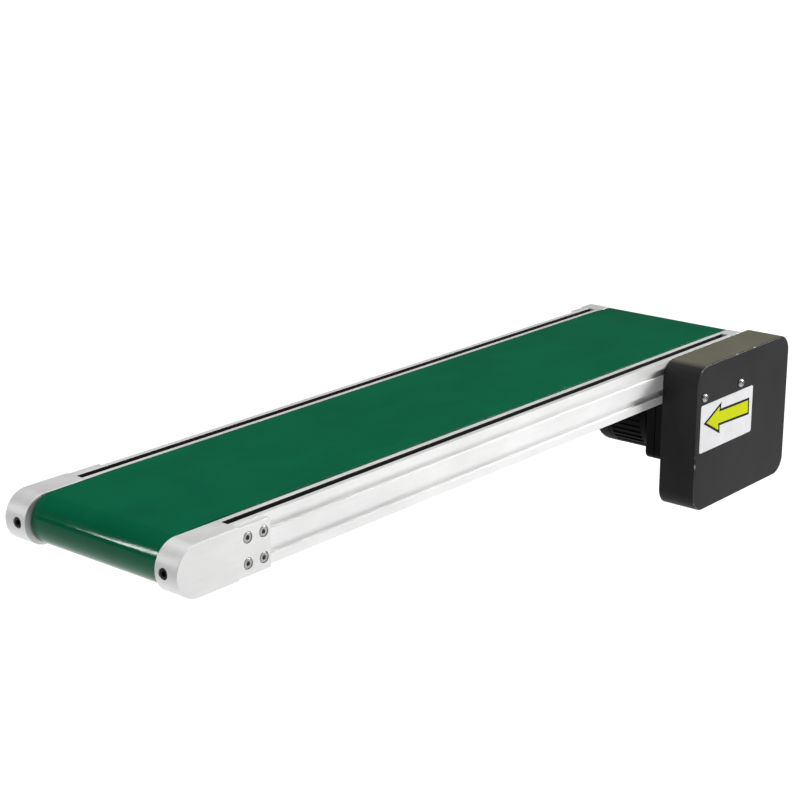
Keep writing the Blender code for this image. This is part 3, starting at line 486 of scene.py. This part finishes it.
# The cover's top takes a painted sheen, a lighter colour in place of its reflection.
COVER_COAT = powder_coat("charcoal_powder_coat", (0.021, 0.0195, 0.0195), 0.45, 0.07,
                         painted_top_sheen=(0.14, 0.135, 0.102))
COVER_RIM = powder_coat("charcoal_rim", (0.024, 0.023, 0.022), 0.38, 0.3, wear=0.9)
MOTOR_COAT = powder_coat("black_motor_paint", (0.0024, 0.0024, 0.0027), 0.5, 0.05)
ZINC_SHEET = spangled_zinc("zinc_sheet", (0.62, 0.63, 0.64))
ZINC_SCREW = metal("zinc_screw", (0.46, 0.46, 0.45), 0.36)
GROUND_STEEL = metal("ground_steel", (0.56, 0.57, 0.58), 0.26, (40, 900, 40))
BLACK_OXIDE = metal("black_oxide", (0.035, 0.035, 0.038), 0.38)
LABEL_FILM = film("label_film", (0.78, 0.775, 0.80), 0.45)
ARROW_INK = film("arrow_ink", (0.62, 0.68, 0.002), 0.5)
OUTLINE_INK = film("outline_ink", (0.010, 0.012, 0.008), 0.4)
BLACK_RUBBER = rubber("black_rubber", (0.014, 0.014, 0.014))
COPPER_WIRE = winding("copper_wire", (0.62, 0.25, 0.12))


# Sizes from the frame, and details of the CAD pieces that their boxes don't show

TAIL_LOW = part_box("right_tail_block")[0]
RAIL_LOW, RAIL_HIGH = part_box("left_side_rail")
BELT_LOW, BELT_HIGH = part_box("conveyor_belt")
TUBE_LOW, TUBE_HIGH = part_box("tail_roller_tube")
ROLLER_LOW, ROLLER_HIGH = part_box("drive_roller")
COVER_LOW, COVER_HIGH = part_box("transmission_cover")
LABEL_LOW, LABEL_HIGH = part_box("direction_label")

HEIGHT = RAIL_HIGH.z
NOSE_RADIUS = HEIGHT / 2
RAIL_INNER_Y = RAIL_LOW.y
RAIL_OUTER_Y = RAIL_HIGH.y
BLOCK_OUTER_Y = -TAIL_LOW.y
GROOVES = (13 * MM, 37.5 * MM)
SLOT = {"opening": 8 * MM, "lip": 1.8 * MM, "cavity": 10.6 * MM, "depth": 5.8 * MM}
EDGE_SLOT_OFFSET = 10 * MM
LAP_GAP = 0.3 * MM
TONGUE_INSET = 1.2 * MM
ROLLER_Z = (TUBE_LOW.z + TUBE_HIGH.z) / 2
TENSION_BORE = {"head_radius": 5.5 * MM, "shank_radius": 3.2 * MM, "seat_depth": 7.1 * MM}
AXLE_POCKET = {"half_height": 7.7 * MM, "travel": 8.4 * MM, "corner": 2.5 * MM, "end_y": 104.5 * MM}
TAIL_ROLLER = ((TUBE_LOW.x + TUBE_HIGH.x) / 2, ROLLER_Z)
DRIVE_ROLLER = ((ROLLER_LOW.x + ROLLER_HIGH.x) / 2, ROLLER_Z)


# Camera, light and floor

CAMERA_PLACE = (-1.5028, -1.2219, 0.6355)
CAMERA_AZIMUTH = math.radians(-49.88)
CAMERA_ELEVATION = math.radians(16.82)
CAMERA_LENS = 85.8

# Each lamp's place, aim, size and power
SOFT_BOXES = {
    "overhead": ((0.2, 0.1, 2.3), (0.1, 0, 0), (2.4, 2.0), 34),
    "over_tail": ((-0.85, 0.15, 1.5), (-0.45, 0, 0), (1.0, 1.5), 5),
    "key": ((2.2, -1.9, 0.95), (0.1, -0.1, 0), (0.6, 0.6), 62),
    "tail_glint": ((-1.86, 1.42, 0.80), (-0.47, -0.08, 0.037), (0.06, 0.7), 7),
}

# The sky's brightness by height, from 0 at the horizon and below it to 1 straight up
SKY_DARKEST = 0.03
SKY_STOPS = ((0.60, SKY_DARKEST), (0.82, 0.06), (0.90, 0.7))
SKY_BRIGHTEST = 0.8

FLOOR_Z = -0.6
# The floor glows, a painted glow and no lamp, that keeps the backdrop white and lights the object from
# below. The glow dims beyond three lines round the object.
# Each line has its direction in x and y, where it starts, and the level it dims to.
FLOOR_FADES = ((-0.48, 0.88, -0.55, 0.74), (0.78, -0.62, -0.65, 0.62), (0.765, 0.645, 0.27, 0.78))
FLOOR_FADE_WIDTH = 1.0


def build_stage():
    scene = bpy.context.scene
    scene.view_settings.view_transform = "Standard"
    camera_data = bpy.data.cameras.new("camera")
    camera_data.lens = CAMERA_LENS
    camera_data.sensor_width = 36
    camera_data.clip_end = 100
    camera = bpy.data.objects.new("camera", camera_data)
    scene.collection.objects.link(camera)
    camera.location = CAMERA_PLACE
    level = math.cos(CAMERA_ELEVATION)
    back = Vector((math.sin(CAMERA_AZIMUTH) * level, -math.cos(CAMERA_AZIMUTH) * level,
                   math.sin(CAMERA_ELEVATION)))
    camera.rotation_euler = (-back).to_track_quat("-Z", "Y").to_euler()
    scene.camera = camera

    world = bpy.data.worlds.new("studio")
    scene.world = world
    world.use_nodes = True
    tree = world.node_tree
    background = tree.nodes["Background"]
    coordinates = tree.nodes.new("ShaderNodeTexCoord")
    split = tree.nodes.new("ShaderNodeSeparateXYZ")
    ramp = tree.nodes.new("ShaderNodeValToRGB")
    tree.links.new(coordinates.outputs["Generated"], split.inputs["Vector"])
    tree.links.new(split.outputs["Z"], ramp.inputs["Fac"])
    tree.links.new(ramp.outputs["Color"], background.inputs["Color"])
    stops = ramp.color_ramp.elements
    stops[0].position = 0.0
    stops[0].color = (SKY_DARKEST, SKY_DARKEST, SKY_DARKEST, 1)
    stops[1].position = 1.0
    stops[1].color = (SKY_BRIGHTEST, SKY_BRIGHTEST, SKY_BRIGHTEST, 1)
    for position, brightness in SKY_STOPS:
        stop = ramp.color_ramp.elements.new(position)
        stop.color = (brightness, brightness, brightness, 1)
    background.inputs["Strength"].default_value = 1.0

    def soft_box(name, location, aim, size, power):
        light_data = bpy.data.lights.new(name, "AREA")
        light_data.shape = "RECTANGLE"
        light_data.size = size[0]
        light_data.size_y = size[1]
        light_data.energy = power
        light = bpy.data.objects.new(name, light_data)
        light.location = location
        light.rotation_euler = (Vector(aim) - Vector(location)).to_track_quat("-Z", "Y").to_euler()
        scene.collection.objects.link(light)

    for name, (place, aim, size, power) in SOFT_BOXES.items():
        soft_box(name, place, aim, size, power)

    floor_builder = bmesh.new()
    bmesh.ops.create_grid(floor_builder, x_segments=1, y_segments=1, size=40)
    floor = new_piece("floor", floor_builder)
    floor.location.z = FLOOR_Z
    pale = Shader("pale_floor", (0.25, 0.25, 0.25), 0.8)
    pale.set("Specular IOR Level", 0.0)
    # Painted glow: the floor emits light, though it is no lamp.
    pale.set("Emission Color", (1, 1, 1, 1))
    axes = pale.tree.nodes.new("ShaderNodeSeparateXYZ")
    pale.link(pale.coordinates, axes.inputs["Vector"])
    glow = None
    for x_share, y_share, start, level in FLOOR_FADES:
        across = pale.math("ADD", pale.math("MULTIPLY", axes.outputs["X"], x_share),
                           pale.math("MULTIPLY", axes.outputs["Y"], y_share))
        fade = pale.remap(across, start - FLOOR_FADE_WIDTH, start, level, 1.0)
        glow = fade if glow is None else pale.math("MULTIPLY", glow, fade)
    pale.link(glow, pale.surface.inputs["Emission Strength"])
    floor.data.materials.append(pale.material)


# Frame

def t_slot(middle, along, inward):
    """The corners of a T-slot in an edge that runs along, with its cavity inward."""
    half_open = SLOT["opening"] / 2
    half_cavity = SLOT["cavity"] / 2
    lip = SLOT["lip"]
    depth = SLOT["depth"]
    half = [(half_open, 0), (half_open, lip), (half_cavity, lip), (half_cavity, depth)]
    corners = [(-a, d) for a, d in half] + [(a, d) for a, d in reversed(half)]
    return [(middle[0] + along[0] * a + inward[0] * d, middle[1] + along[1] * a + inward[1] * d)
            for a, d in corners]


def rail_outline(side):
    width = RAIL_OUTER_Y - RAIL_INNER_Y
    outline = [(0, 0)] + t_slot((EDGE_SLOT_OFFSET, 0), (1, 0), (0, 1)) + [(width, 0)]
    for height in GROOVES:
        outline += t_slot((width, height), (0, 1), (-1, 0))
    outline += [(width, HEIGHT)] + t_slot((EDGE_SLOT_OFFSET, HEIGHT), (-1, 0), (0, -1)) + [(0, HEIGHT)]
    outline += t_slot((0, HEIGHT / 2), (0, -1), (1, 0))
    points = [(side * (RAIL_INNER_Y + across), up) for across, up in outline]
    return round_corners(points, 0.35 * MM)


def paint_top_slot_shade(rail):
    """Painted shade: a near-black material on every face inside the rail's top slot, where the slot lies in
    shade.
    """
    rail.data.materials.append(SLOT_PAINTED_SHADE)
    floor = HEIGHT - SLOT["depth"] - 0.1 * MM
    for face in rail.data.polygons:
        middle = face.center
        across = abs(abs(middle.y) - RAIL_INNER_Y - EDGE_SLOT_OFFSET)
        inside = across < SLOT["cavity"] / 2 + 0.1 * MM and floor < middle.z < HEIGHT - 0.06 * MM
        if inside and face.area < 1e-2 and abs(face.normal.x) < 0.5:
            face.material_index = 1


def build_rails():
    for name, side in SIDES.items():
        rail = prism(name + "_rail", rail_outline(side), "X", (RAIL_LOW.x, RAIL_HIGH.x))
        place_piece(rail, RAIL_METAL, "frame", [name + "_side_rail"])
        # The inside of the top slot is painted in near-black shade.
        paint_top_slot_shade(rail)


def counterbore(name, radius, seat, outside, hole_radius, through):
    """A cutter for a stepped hole with a small chamfer at its mouth, from outside through to through."""
    seat = Vector(seat)
    outside = Vector(outside)
    through = Vector(through)
    out = (outside - seat).normalized()
    depth = (outside - seat).length
    back = (through - seat).length
    lip = 0.35 * MM
    profile = [(0, -back), (hole_radius, -back), (hole_radius, 0), (radius, 0), (radius, depth - lip),
               (radius + lip, depth), (radius + lip, depth + 4 * MM), (0, depth + 4 * MM)]
    return lathe(name, profile, seat, out, 40)


def nose_outline(face_x, tip, low_x):
    """Block outline from a flat face to the round nose. tip is -1 at the tail and 1 at the drive."""
    center = (low_x, NOSE_RADIUS)
    return [(face_x, HEIGHT), (face_x, 0)] + arc(center, NOSE_RADIUS, -90, -90 + tip * 180, 64)


def build_block(node, side, tip, has_tongue):
    """A round-nosed end block, with a tongue lapping over the rail where it has one."""
    low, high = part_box(node)
    nose_tip = low.x if tip < 0 else high.x
    tongue_end = high.x if tip < 0 else low.x
    rail_end = RAIL_LOW.x if tip < 0 else RAIL_HIGH.x
    face = rail_end + tip * LAP_GAP
    center_x = nose_tip - tip * NOSE_RADIUS
    outer_y = side * (BLOCK_OUTER_Y if has_tongue else RAIL_OUTER_Y)
    edge = 0.4 * MM
    span = (side * RAIL_INNER_Y, outer_y)
    low_edge, high_edge = (edge, edge)
    block = prism(node + "_finish", nose_outline(face, tip, center_x), "Y", span, low_edge, high_edge)
    if has_tongue:
        left, right = sorted((tongue_end, face + tip * 6 * MM))
        outline = rounded_rectangle((left, TONGUE_INSET), (right, HEIGHT - TONGUE_INSET), 2 * MM, 8)
        tongue_span = (side * (RAIL_OUTER_Y + LAP_GAP), outer_y - side * 0.0002 * MM)
        tongue = prism("tongue", outline, "Y", tongue_span, edge, edge)
        combine(block, [tongue], "UNION")
    return block


def screw_cutters(nodes, side):
    cutters = []
    for node in nodes:
        low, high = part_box(node)
        x = (low.x + high.x) / 2
        z = (low.z + high.z) / 2
        seat_y = side * (BLOCK_OUTER_Y - 4.35 * MM)
        cutters.append(counterbore("bore", 5.5 * MM, (x, seat_y, z), (x, side * BLOCK_OUTER_Y, z), 3.2 * MM,
                                   (x, side * (RAIL_OUTER_Y - MM), z)))
    return cutters


def tail_screw_nodes(name):
    return [f"{name}_tail_screw_{row}_{number}" for row in ("lower", "upper") for number in (1, 2)]


def build_blocks():
    for name, side in SIDES.items():
        node = name + "_tail_block"
        block = build_block(node, side, -1, True)
        low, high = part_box(name + "_tension_screw")
        y = (low.y + high.y) / 2
        seat = (TAIL_LOW.x + TENSION_BORE["seat_depth"], y, ROLLER_Z)
        mouth = (TAIL_LOW.x - MM, y, ROLLER_Z)
        tension = counterbore("tension_bore", TENSION_BORE["head_radius"], seat, mouth,
                              TENSION_BORE["shank_radius"], (TAIL_ROLLER[0], y, ROLLER_Z))
        axle = AXLE_POCKET["half_height"]
        pocket_low = (TAIL_ROLLER[0] - axle, ROLLER_Z - axle)
        pocket_high = (TAIL_ROLLER[0] + AXLE_POCKET["travel"] + axle, ROLLER_Z + axle)
        outline = rounded_rectangle(pocket_low, pocket_high, AXLE_POCKET["corner"], 6)
        pocket = prism("pocket", outline, "Y", (side * (RAIL_INNER_Y - MM), side * AXLE_POCKET["end_y"]))
        combine(block, screw_cutters(tail_screw_nodes(name), side) + [tension, pocket])
        place_piece(block, BLOCK_METAL, "frame", [node])

    left = build_block("left_drive_block", 1, 1, True)
    combine(left, screw_cutters(["left_drive_screw_lower", "left_drive_screw_upper"], 1))
    right = build_block("right_drive_block", -1, 1, False)
    for name, side, block in (("left", 1, left), ("right", -1, right)):
        center = Vector((DRIVE_ROLLER[0], 0, ROLLER_Z))
        inner = center + Vector((0, side * (RAIL_INNER_Y - MM), 0))
        seat = center + Vector((0, side * (RAIL_INNER_Y + 8.3 * MM), 0))
        end = center + Vector((0, side * (RAIL_OUTER_Y + (MM if side < 0 else 0)), 0))
        combine(block, [cylinder("bearing_seat", 14.15 * MM, inner, seat, 64),
                        cylinder("shaft_hole", 8.5 * MM, inner, end, 48)])
        place_piece(block, BLOCK_METAL, "frame", [name + "_drive_block"])


# Fasteners

def hexagon_cutter(name, width, bottom, top):
    """A hexagonal socket with a drilled cone under it."""
    bottom = Vector(bottom)
    top = Vector(top)
    out = (top - bottom).normalized()
    radius = width / 2 / math.cos(math.pi / 6)
    height = (top - bottom).length
    chamfer = 0.25 * MM
    profile = [(0, -0.9 * MM), (radius * 0.86, 0), (radius, 0), (radius, height - chamfer),
               (radius + chamfer * 1.4, height + chamfer * 0.4), (radius + chamfer * 1.4, height + 2 * MM),
               (0, height + 2 * MM)]
    return lathe(name, profile, bottom, out, 6)


def build_socket_screw(node, head_height, socket_width, material, body="frame"):
    """A hexagon socket screw on the CAD screw's own axis, with a turned ring on its head."""
    low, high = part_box(node)
    size = high - low
    axis = max(range(3), key=lambda index: size[index])
    center = (low + high) / 2
    toward = Vector((0, 0, 0))
    toward[axis] = 1 if center[axis] > 0 else -1
    head_radius = size[(axis + 1) % 3] / 2
    shank_radius = 2.95 * MM if head_radius > 4.6 * MM else 2.45 * MM
    top = center + toward * size[axis] / 2
    length = size[axis]
    bevel = 0.5 * MM
    head = [(0, 0), (head_radius - bevel * 1.6, 0), (head_radius - bevel * 0.9, -bevel * 0.15),
            (head_radius - bevel * 0.25, -bevel * 0.6), (head_radius, -bevel * 1.3),
            (head_radius, 0.3 * MM - head_height), (head_radius - 0.3 * MM, -head_height)]
    point = 0.6 * MM
    shank = [(shank_radius, -head_height), (shank_radius, point - length), (shank_radius - point, -length),
             (0, -length)]
    screw = lathe(node + "_finish", head + shank, top, toward, 48)
    depth = min(3.2 * MM, 0.6 * head_height)
    combine(screw, [hexagon_cutter("socket", socket_width, top - toward * depth, top)])
    return place_piece(screw, material, body, [node])


def build_pan_screw(node):
    """A pan head screw with a cross recess."""
    low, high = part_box(node)
    center = (low + high) / 2
    radius = (high.x - low.x) / 2
    rise = 3.4 * MM
    length = high.y - low.y
    top = Vector((center.x, low.y, center.z))
    toward = Vector((0, -1, 0))
    dome = [(0, 0)]
    for step in range(1, 9):
        angle = math.radians(8.5 * step)
        dome.append((radius * math.sin(angle), rise * 0.82 * (math.cos(angle) - 1)))
    shank = 2.45 * MM
    rim = 0.2 * MM
    point = 0.5 * MM
    profile = dome + [(radius, -rise * 0.75), (radius, rim - rise), (radius - rim, -rise), (shank, -rise),
                      (shank, -length + point), (shank - point, -length), (0, -length)]
    screw = lathe(node + "_finish", profile, top, toward, 48)
    for angle in (35, 125):
        turn = Matrix.Rotation(math.radians(angle), 4, "Y")
        builder = bmesh.new()
        bmesh.ops.create_cube(builder, size=1)
        bmesh.ops.scale(builder, vec=(5.4 * MM, 4.2 * MM, 1.15 * MM), verts=builder.verts)
        bmesh.ops.transform(builder, matrix=Matrix.Translation(top) @ turn, verts=builder.verts)
        combine(screw, [new_piece("recess", builder)])
    return place_piece(screw, ZINC_SCREW, "frame", [node])


def build_fasteners():
    for name in SIDES:
        for node in tail_screw_nodes(name):
            build_socket_screw(node, 4 * MM, 4 * MM, ZINC_SCREW)
        node = name + "_tension_screw"
        build_socket_screw(node, 6 * MM, 5 * MM, BLACK_OXIDE, node)
    for row in ("lower", "upper"):
        build_socket_screw(f"left_drive_screw_{row}", 4 * MM, 4 * MM, ZINC_SCREW)
        build_socket_screw(f"back_plate_screw_{row}", 5 * MM, 4 * MM, BLACK_OXIDE)
        for number in (1, 2):
            node = f"gearbox_screw_{row}_{number}"
            build_socket_screw(node, 6 * MM, 5 * MM, BLACK_OXIDE)
    for number in (1, 2):
        build_pan_screw(f"cover_screw_{number}")


# Belt

def build_belt():
    """A PVC carrying skin over a thin woven ply."""
    outer = BELT_HIGH.x - DRIVE_ROLLER[0]
    skin = 1.4 * MM
    ply = 2.0 * MM
    span = (BELT_LOW.y, BELT_HIGH.y)
    bed_low, bed_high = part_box("slider_bed")

    def loop(depth):
        top = BELT_HIGH.z - depth
        run = round_run([(DRIVE_ROLLER[0], ROLLER_Z + outer - depth), (bed_high.x, top), (bed_low.x, top),
                         (TAIL_ROLLER[0], ROLLER_Z + outer - depth)], 12 * MM)
        return belt_loop(TAIL_ROLLER, DRIVE_ROLLER, outer - depth, run)

    outer_loop = loop(0)
    middle_loop = loop(skin)
    inner_loop = loop(ply)
    cover = ring_prism("belt_skin", outer_loop, middle_loop, "Y", span)
    place_piece(cover, BELT_SKIN, "frame", ["conveyor_belt"])
    inset = 0.15 * MM
    carcass = ring_prism("belt_ply", middle_loop, inner_loop, "Y", (span[0] + inset, span[1] - inset))
    place_piece(carcass, BELT_PLY, "frame")


# Transmission case

def build_cover():
    corner = 21 * MM
    wall = 2.5 * MM
    low = (COVER_LOW.x, COVER_LOW.z)
    high = (COVER_HIGH.x, COVER_HIGH.z)
    cover = prism("case_cover", rounded_rectangle(low, high, corner, 24), "Y", (COVER_LOW.y, COVER_HIGH.y),
                  low_edge=1.8 * MM, high_edge=0.3 * MM, segments=4)
    inner_low = (low[0] + wall, low[1] + wall)
    inner_high = (high[0] - wall, high[1] - wall)
    inner = rounded_rectangle(inner_low, inner_high, corner - wall, 24)
    cutters = [prism("inside", inner, "Y", (COVER_LOW.y + wall, COVER_HIGH.y + MM), low_edge=1.2 * MM)]
    for number in (1, 2):
        screw_low, screw_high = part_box(f"cover_screw_{number}")
        x = (screw_low.x + screw_high.x) / 2
        z = (screw_low.z + screw_high.z) / 2
        cutters.append(cylinder("hole", 2.7 * MM, (x, COVER_LOW.y - MM, z), (x, COVER_LOW.y + 2 * wall, z)))
    combine(cover, cutters)
    place_piece(cover, COVER_COAT, "frame", ["transmission_cover"])
    cover.data.materials.append(COVER_RIM)
    # The front rim takes the rim coat, whose lighter tone is partly rubbed wear and partly a painted edge
    # highlight.
    for face in cover.data.polygons:
        on_rim = face.center.y < COVER_LOW.y + 1.7 * MM and 0.25 < abs(face.normal.y) < 0.95
        if on_rim:
            face.material_index = 1


def arrow_outline(grow):
    """A plain arrow pointing to the tail, drawn in the label's own width and height."""
    width = LABEL_HIGH.x - LABEL_LOW.x
    height = LABEL_HIGH.z - LABEL_LOW.z
    shape = ((0.057, 0.605), (0.387, 0.923), (0.377, 0.781), (0.936, 0.758), (0.941, 0.393), (0.367, 0.435),
             (0.375, 0.256))
    points = [Vector((LABEL_LOW.x + across * width, LABEL_LOW.z + up * height)) for across, up in shape]
    grown = []
    count = len(points)
    for index, point in enumerate(points):
        before = (point - points[index - 1]).normalized()
        after = (points[(index + 1) % count] - point).normalized()
        normals = (Vector((-before.y, before.x)), Vector((-after.y, after.x)))
        bisector = (normals[0] + normals[1]).normalized()
        grown.append(tuple(point + bisector * grow / max(0.35, bisector.dot(normals[0]))))
    return grown


def build_label():
    front = LABEL_LOW.y
    back = LABEL_HIGH.y
    outline = rounded_rectangle((LABEL_LOW.x, LABEL_LOW.z), (LABEL_HIGH.x, LABEL_HIGH.z), 3 * MM, 8)
    label = prism("label_film", outline, "Y", (front + 0.12 * MM, back), low_edge=0.08 * MM, segments=2)
    place_piece(label, LABEL_FILM, "frame", ["direction_label"])
    border = prism("arrow_outline", arrow_outline(0.0), "Y", (front + 0.06 * MM, front + 0.12 * MM))
    place_piece(border, OUTLINE_INK, "frame")
    arrow = prism("arrow_fill", arrow_outline(-2.9 * MM), "Y", (front, front + 0.06 * MM))
    place_piece(arrow, ARROW_INK, "frame")


# Gear motor

def build_motor():
    low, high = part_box("motor_body")
    center = Vector(((low.x + high.x) / 2, 0, (low.z + high.z) / 2))
    radius = (high.x - low.x) / 2
    inner = radius - 6 * MM
    bore = 6.1 * MM
    web = low.y + 7 * MM
    root = radius - 2 * MM
    along = (0, 1, 0)
    edge = 0.8 * MM
    shell_profile = [
        (bore, low.y), (bore, web), (inner, web), (inner, high.y),
        (radius - edge, high.y), (radius, high.y - edge), (radius, high.y - 5 * MM),
        (root, high.y - 6 * MM), (root, low.y + 9 * MM),
        (radius, low.y + 8 * MM), (radius, low.y + edge), (radius - edge, low.y),
    ]
    shell = lathe("motor_shell", shell_profile, center, along, 128, closed=True)
    fins = []
    fin_count = 36
    for index in range(fin_count):
        angle = 2 * math.pi * (index + 0.5) / fin_count
        turn = Matrix.Rotation(angle, 4, "Y")
        builder = bmesh.new()
        bmesh.ops.create_cube(builder, size=1)
        bmesh.ops.scale(builder, vec=(2.6 * MM, high.y - low.y - 13 * MM, 4 * MM), verts=builder.verts)
        bmesh.ops.translate(builder, vec=(0, 0, root - 0.2 * MM), verts=builder.verts)
        middle = Matrix.Translation(center + Vector((0, (low.y + high.y) / 2 + 1.5 * MM, 0)))
        bmesh.ops.transform(builder, matrix=middle @ turn, verts=builder.verts)
        fins.append(new_piece(f"fin_{index}", builder))
    first = fins[0]
    with bpy.context.temp_override(active_object=first, selected_editable_objects=fins, object=first,
                                   selected_objects=fins):
        bpy.ops.object.join()
    combine(shell, [first], "UNION")
    place_piece(shell, MOTOR_COAT, "frame", ["motor_body"])

    cap_low, cap_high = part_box("motor_rear_cap")
    roll = 9 * MM
    rear = cap_high.y
    rounded = []
    for degrees in range(0, 91, 10):
        angle = math.radians(degrees)
        rounded.append((radius - roll + roll * math.sin(angle), rear - roll * (1 - math.cos(angle))))
    profile = [(0, rear - 0.6 * MM), (14 * MM, rear - 0.6 * MM), (15 * MM, rear)] + rounded
    profile += [(radius, cap_low.y + 0.6 * MM), (radius - 0.6 * MM, cap_low.y), (inner, cap_low.y),
                (inner - 5 * MM, rear - 5 * MM), (11 * MM, rear - 5 * MM), (11 * MM, cap_low.y + 2 * MM),
                (bore, cap_low.y + 2 * MM), (bore, rear - 4 * MM), (0, rear - 4 * MM)]
    cap = lathe("motor_cap", profile, center, along, 96)
    place_piece(cap, MOTOR_COAT, "frame", ["motor_rear_cap"])


def build_gearbox():
    low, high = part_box("gearbox_housing")
    output_low, output_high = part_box("output_shaft")
    output = Vector(((output_low.x + output_high.x) / 2, 0, (output_low.z + output_high.z) / 2))
    outline = rounded_rectangle((low.x, low.z), (high.x, high.z), 8 * MM, 12)
    housing = prism("gearbox_case", outline, "Y", (low.y, high.y), 0.8 * MM, 2.5 * MM)
    wall = 5 * MM
    cavity_low = (low.x + wall, low.z + wall)
    cavity_high = (high.x - wall, high.z - wall)
    cavity_outline = rounded_rectangle(cavity_low, cavity_high, 14 * MM, 12)
    cutters = [prism("cavity", cavity_outline, "Y", (low.y + 8 * MM, high.y + MM)),
               cylinder("output_hole", 7.6 * MM, output + Vector((0, low.y - MM, 0)),
                        output + Vector((0, low.y + 9 * MM, 0)), 48)]
    depth = 1.0 * MM
    around = rounded_rectangle((low.x - MM, low.z - MM), (high.x + MM, high.z + MM), 9 * MM, 12)
    floor_low = (low.x + depth, low.z + depth)
    floor_high = (high.x - depth, high.z - depth)
    groove_floor = rounded_rectangle(floor_low, floor_high, 7.2 * MM, 12)
    for y in (low.y + 12 * MM, high.y - 14 * MM):
        outer = prism("groove", around, "Y", (y, y + 1.6 * MM))
        core = prism("groove_core", groove_floor, "Y", (y - MM, y + 2.6 * MM))
        combine(outer, [core])
        cutters.append(outer)
    combine(housing, cutters)
    place_piece(housing, MOTOR_COAT, "frame", ["gearbox_housing"])


# Inner pieces keep their CAD shape and take a finished material

CAD_FINISHES = (
    (ZINC_SHEET, ("slider_bed", "transmission_back_plate")),
    (RAIL_METAL, ("tail_cross_tie", "drive_cross_tie", "drive_pulley", "driven_pulley")),
    (GROUND_STEEL, ("tail_axle", "tail_roller_tube", "drive_roller",
                    "left_tail_bearing", "right_tail_bearing", "left_drive_bearing", "right_drive_bearing",
                    "output_shaft", "output_gear", "idler_gear", "motor_rotor")),
    (ZINC_SCREW, ("cover_standoff_1", "cover_standoff_2")),
    (BLACK_RUBBER, ("timing_belt",)),
    (COPPER_WIRE, ("motor_stator",)),
)


def finish_cad_nodes():
    finishes = {node: material for material, nodes in CAD_FINISHES for node in nodes}
    for name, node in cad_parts.items():
        if "slot_nut" in name:
            finishes[name] = ZINC_SCREW
        if name in finishes:
            node.data.materials.clear()
            node.data.materials.append(finishes[name])


build_stage()
build_rails()
build_blocks()
build_fasteners()
build_belt()
build_cover()
build_label()
build_motor()
build_gearbox()
finish_cad_nodes()
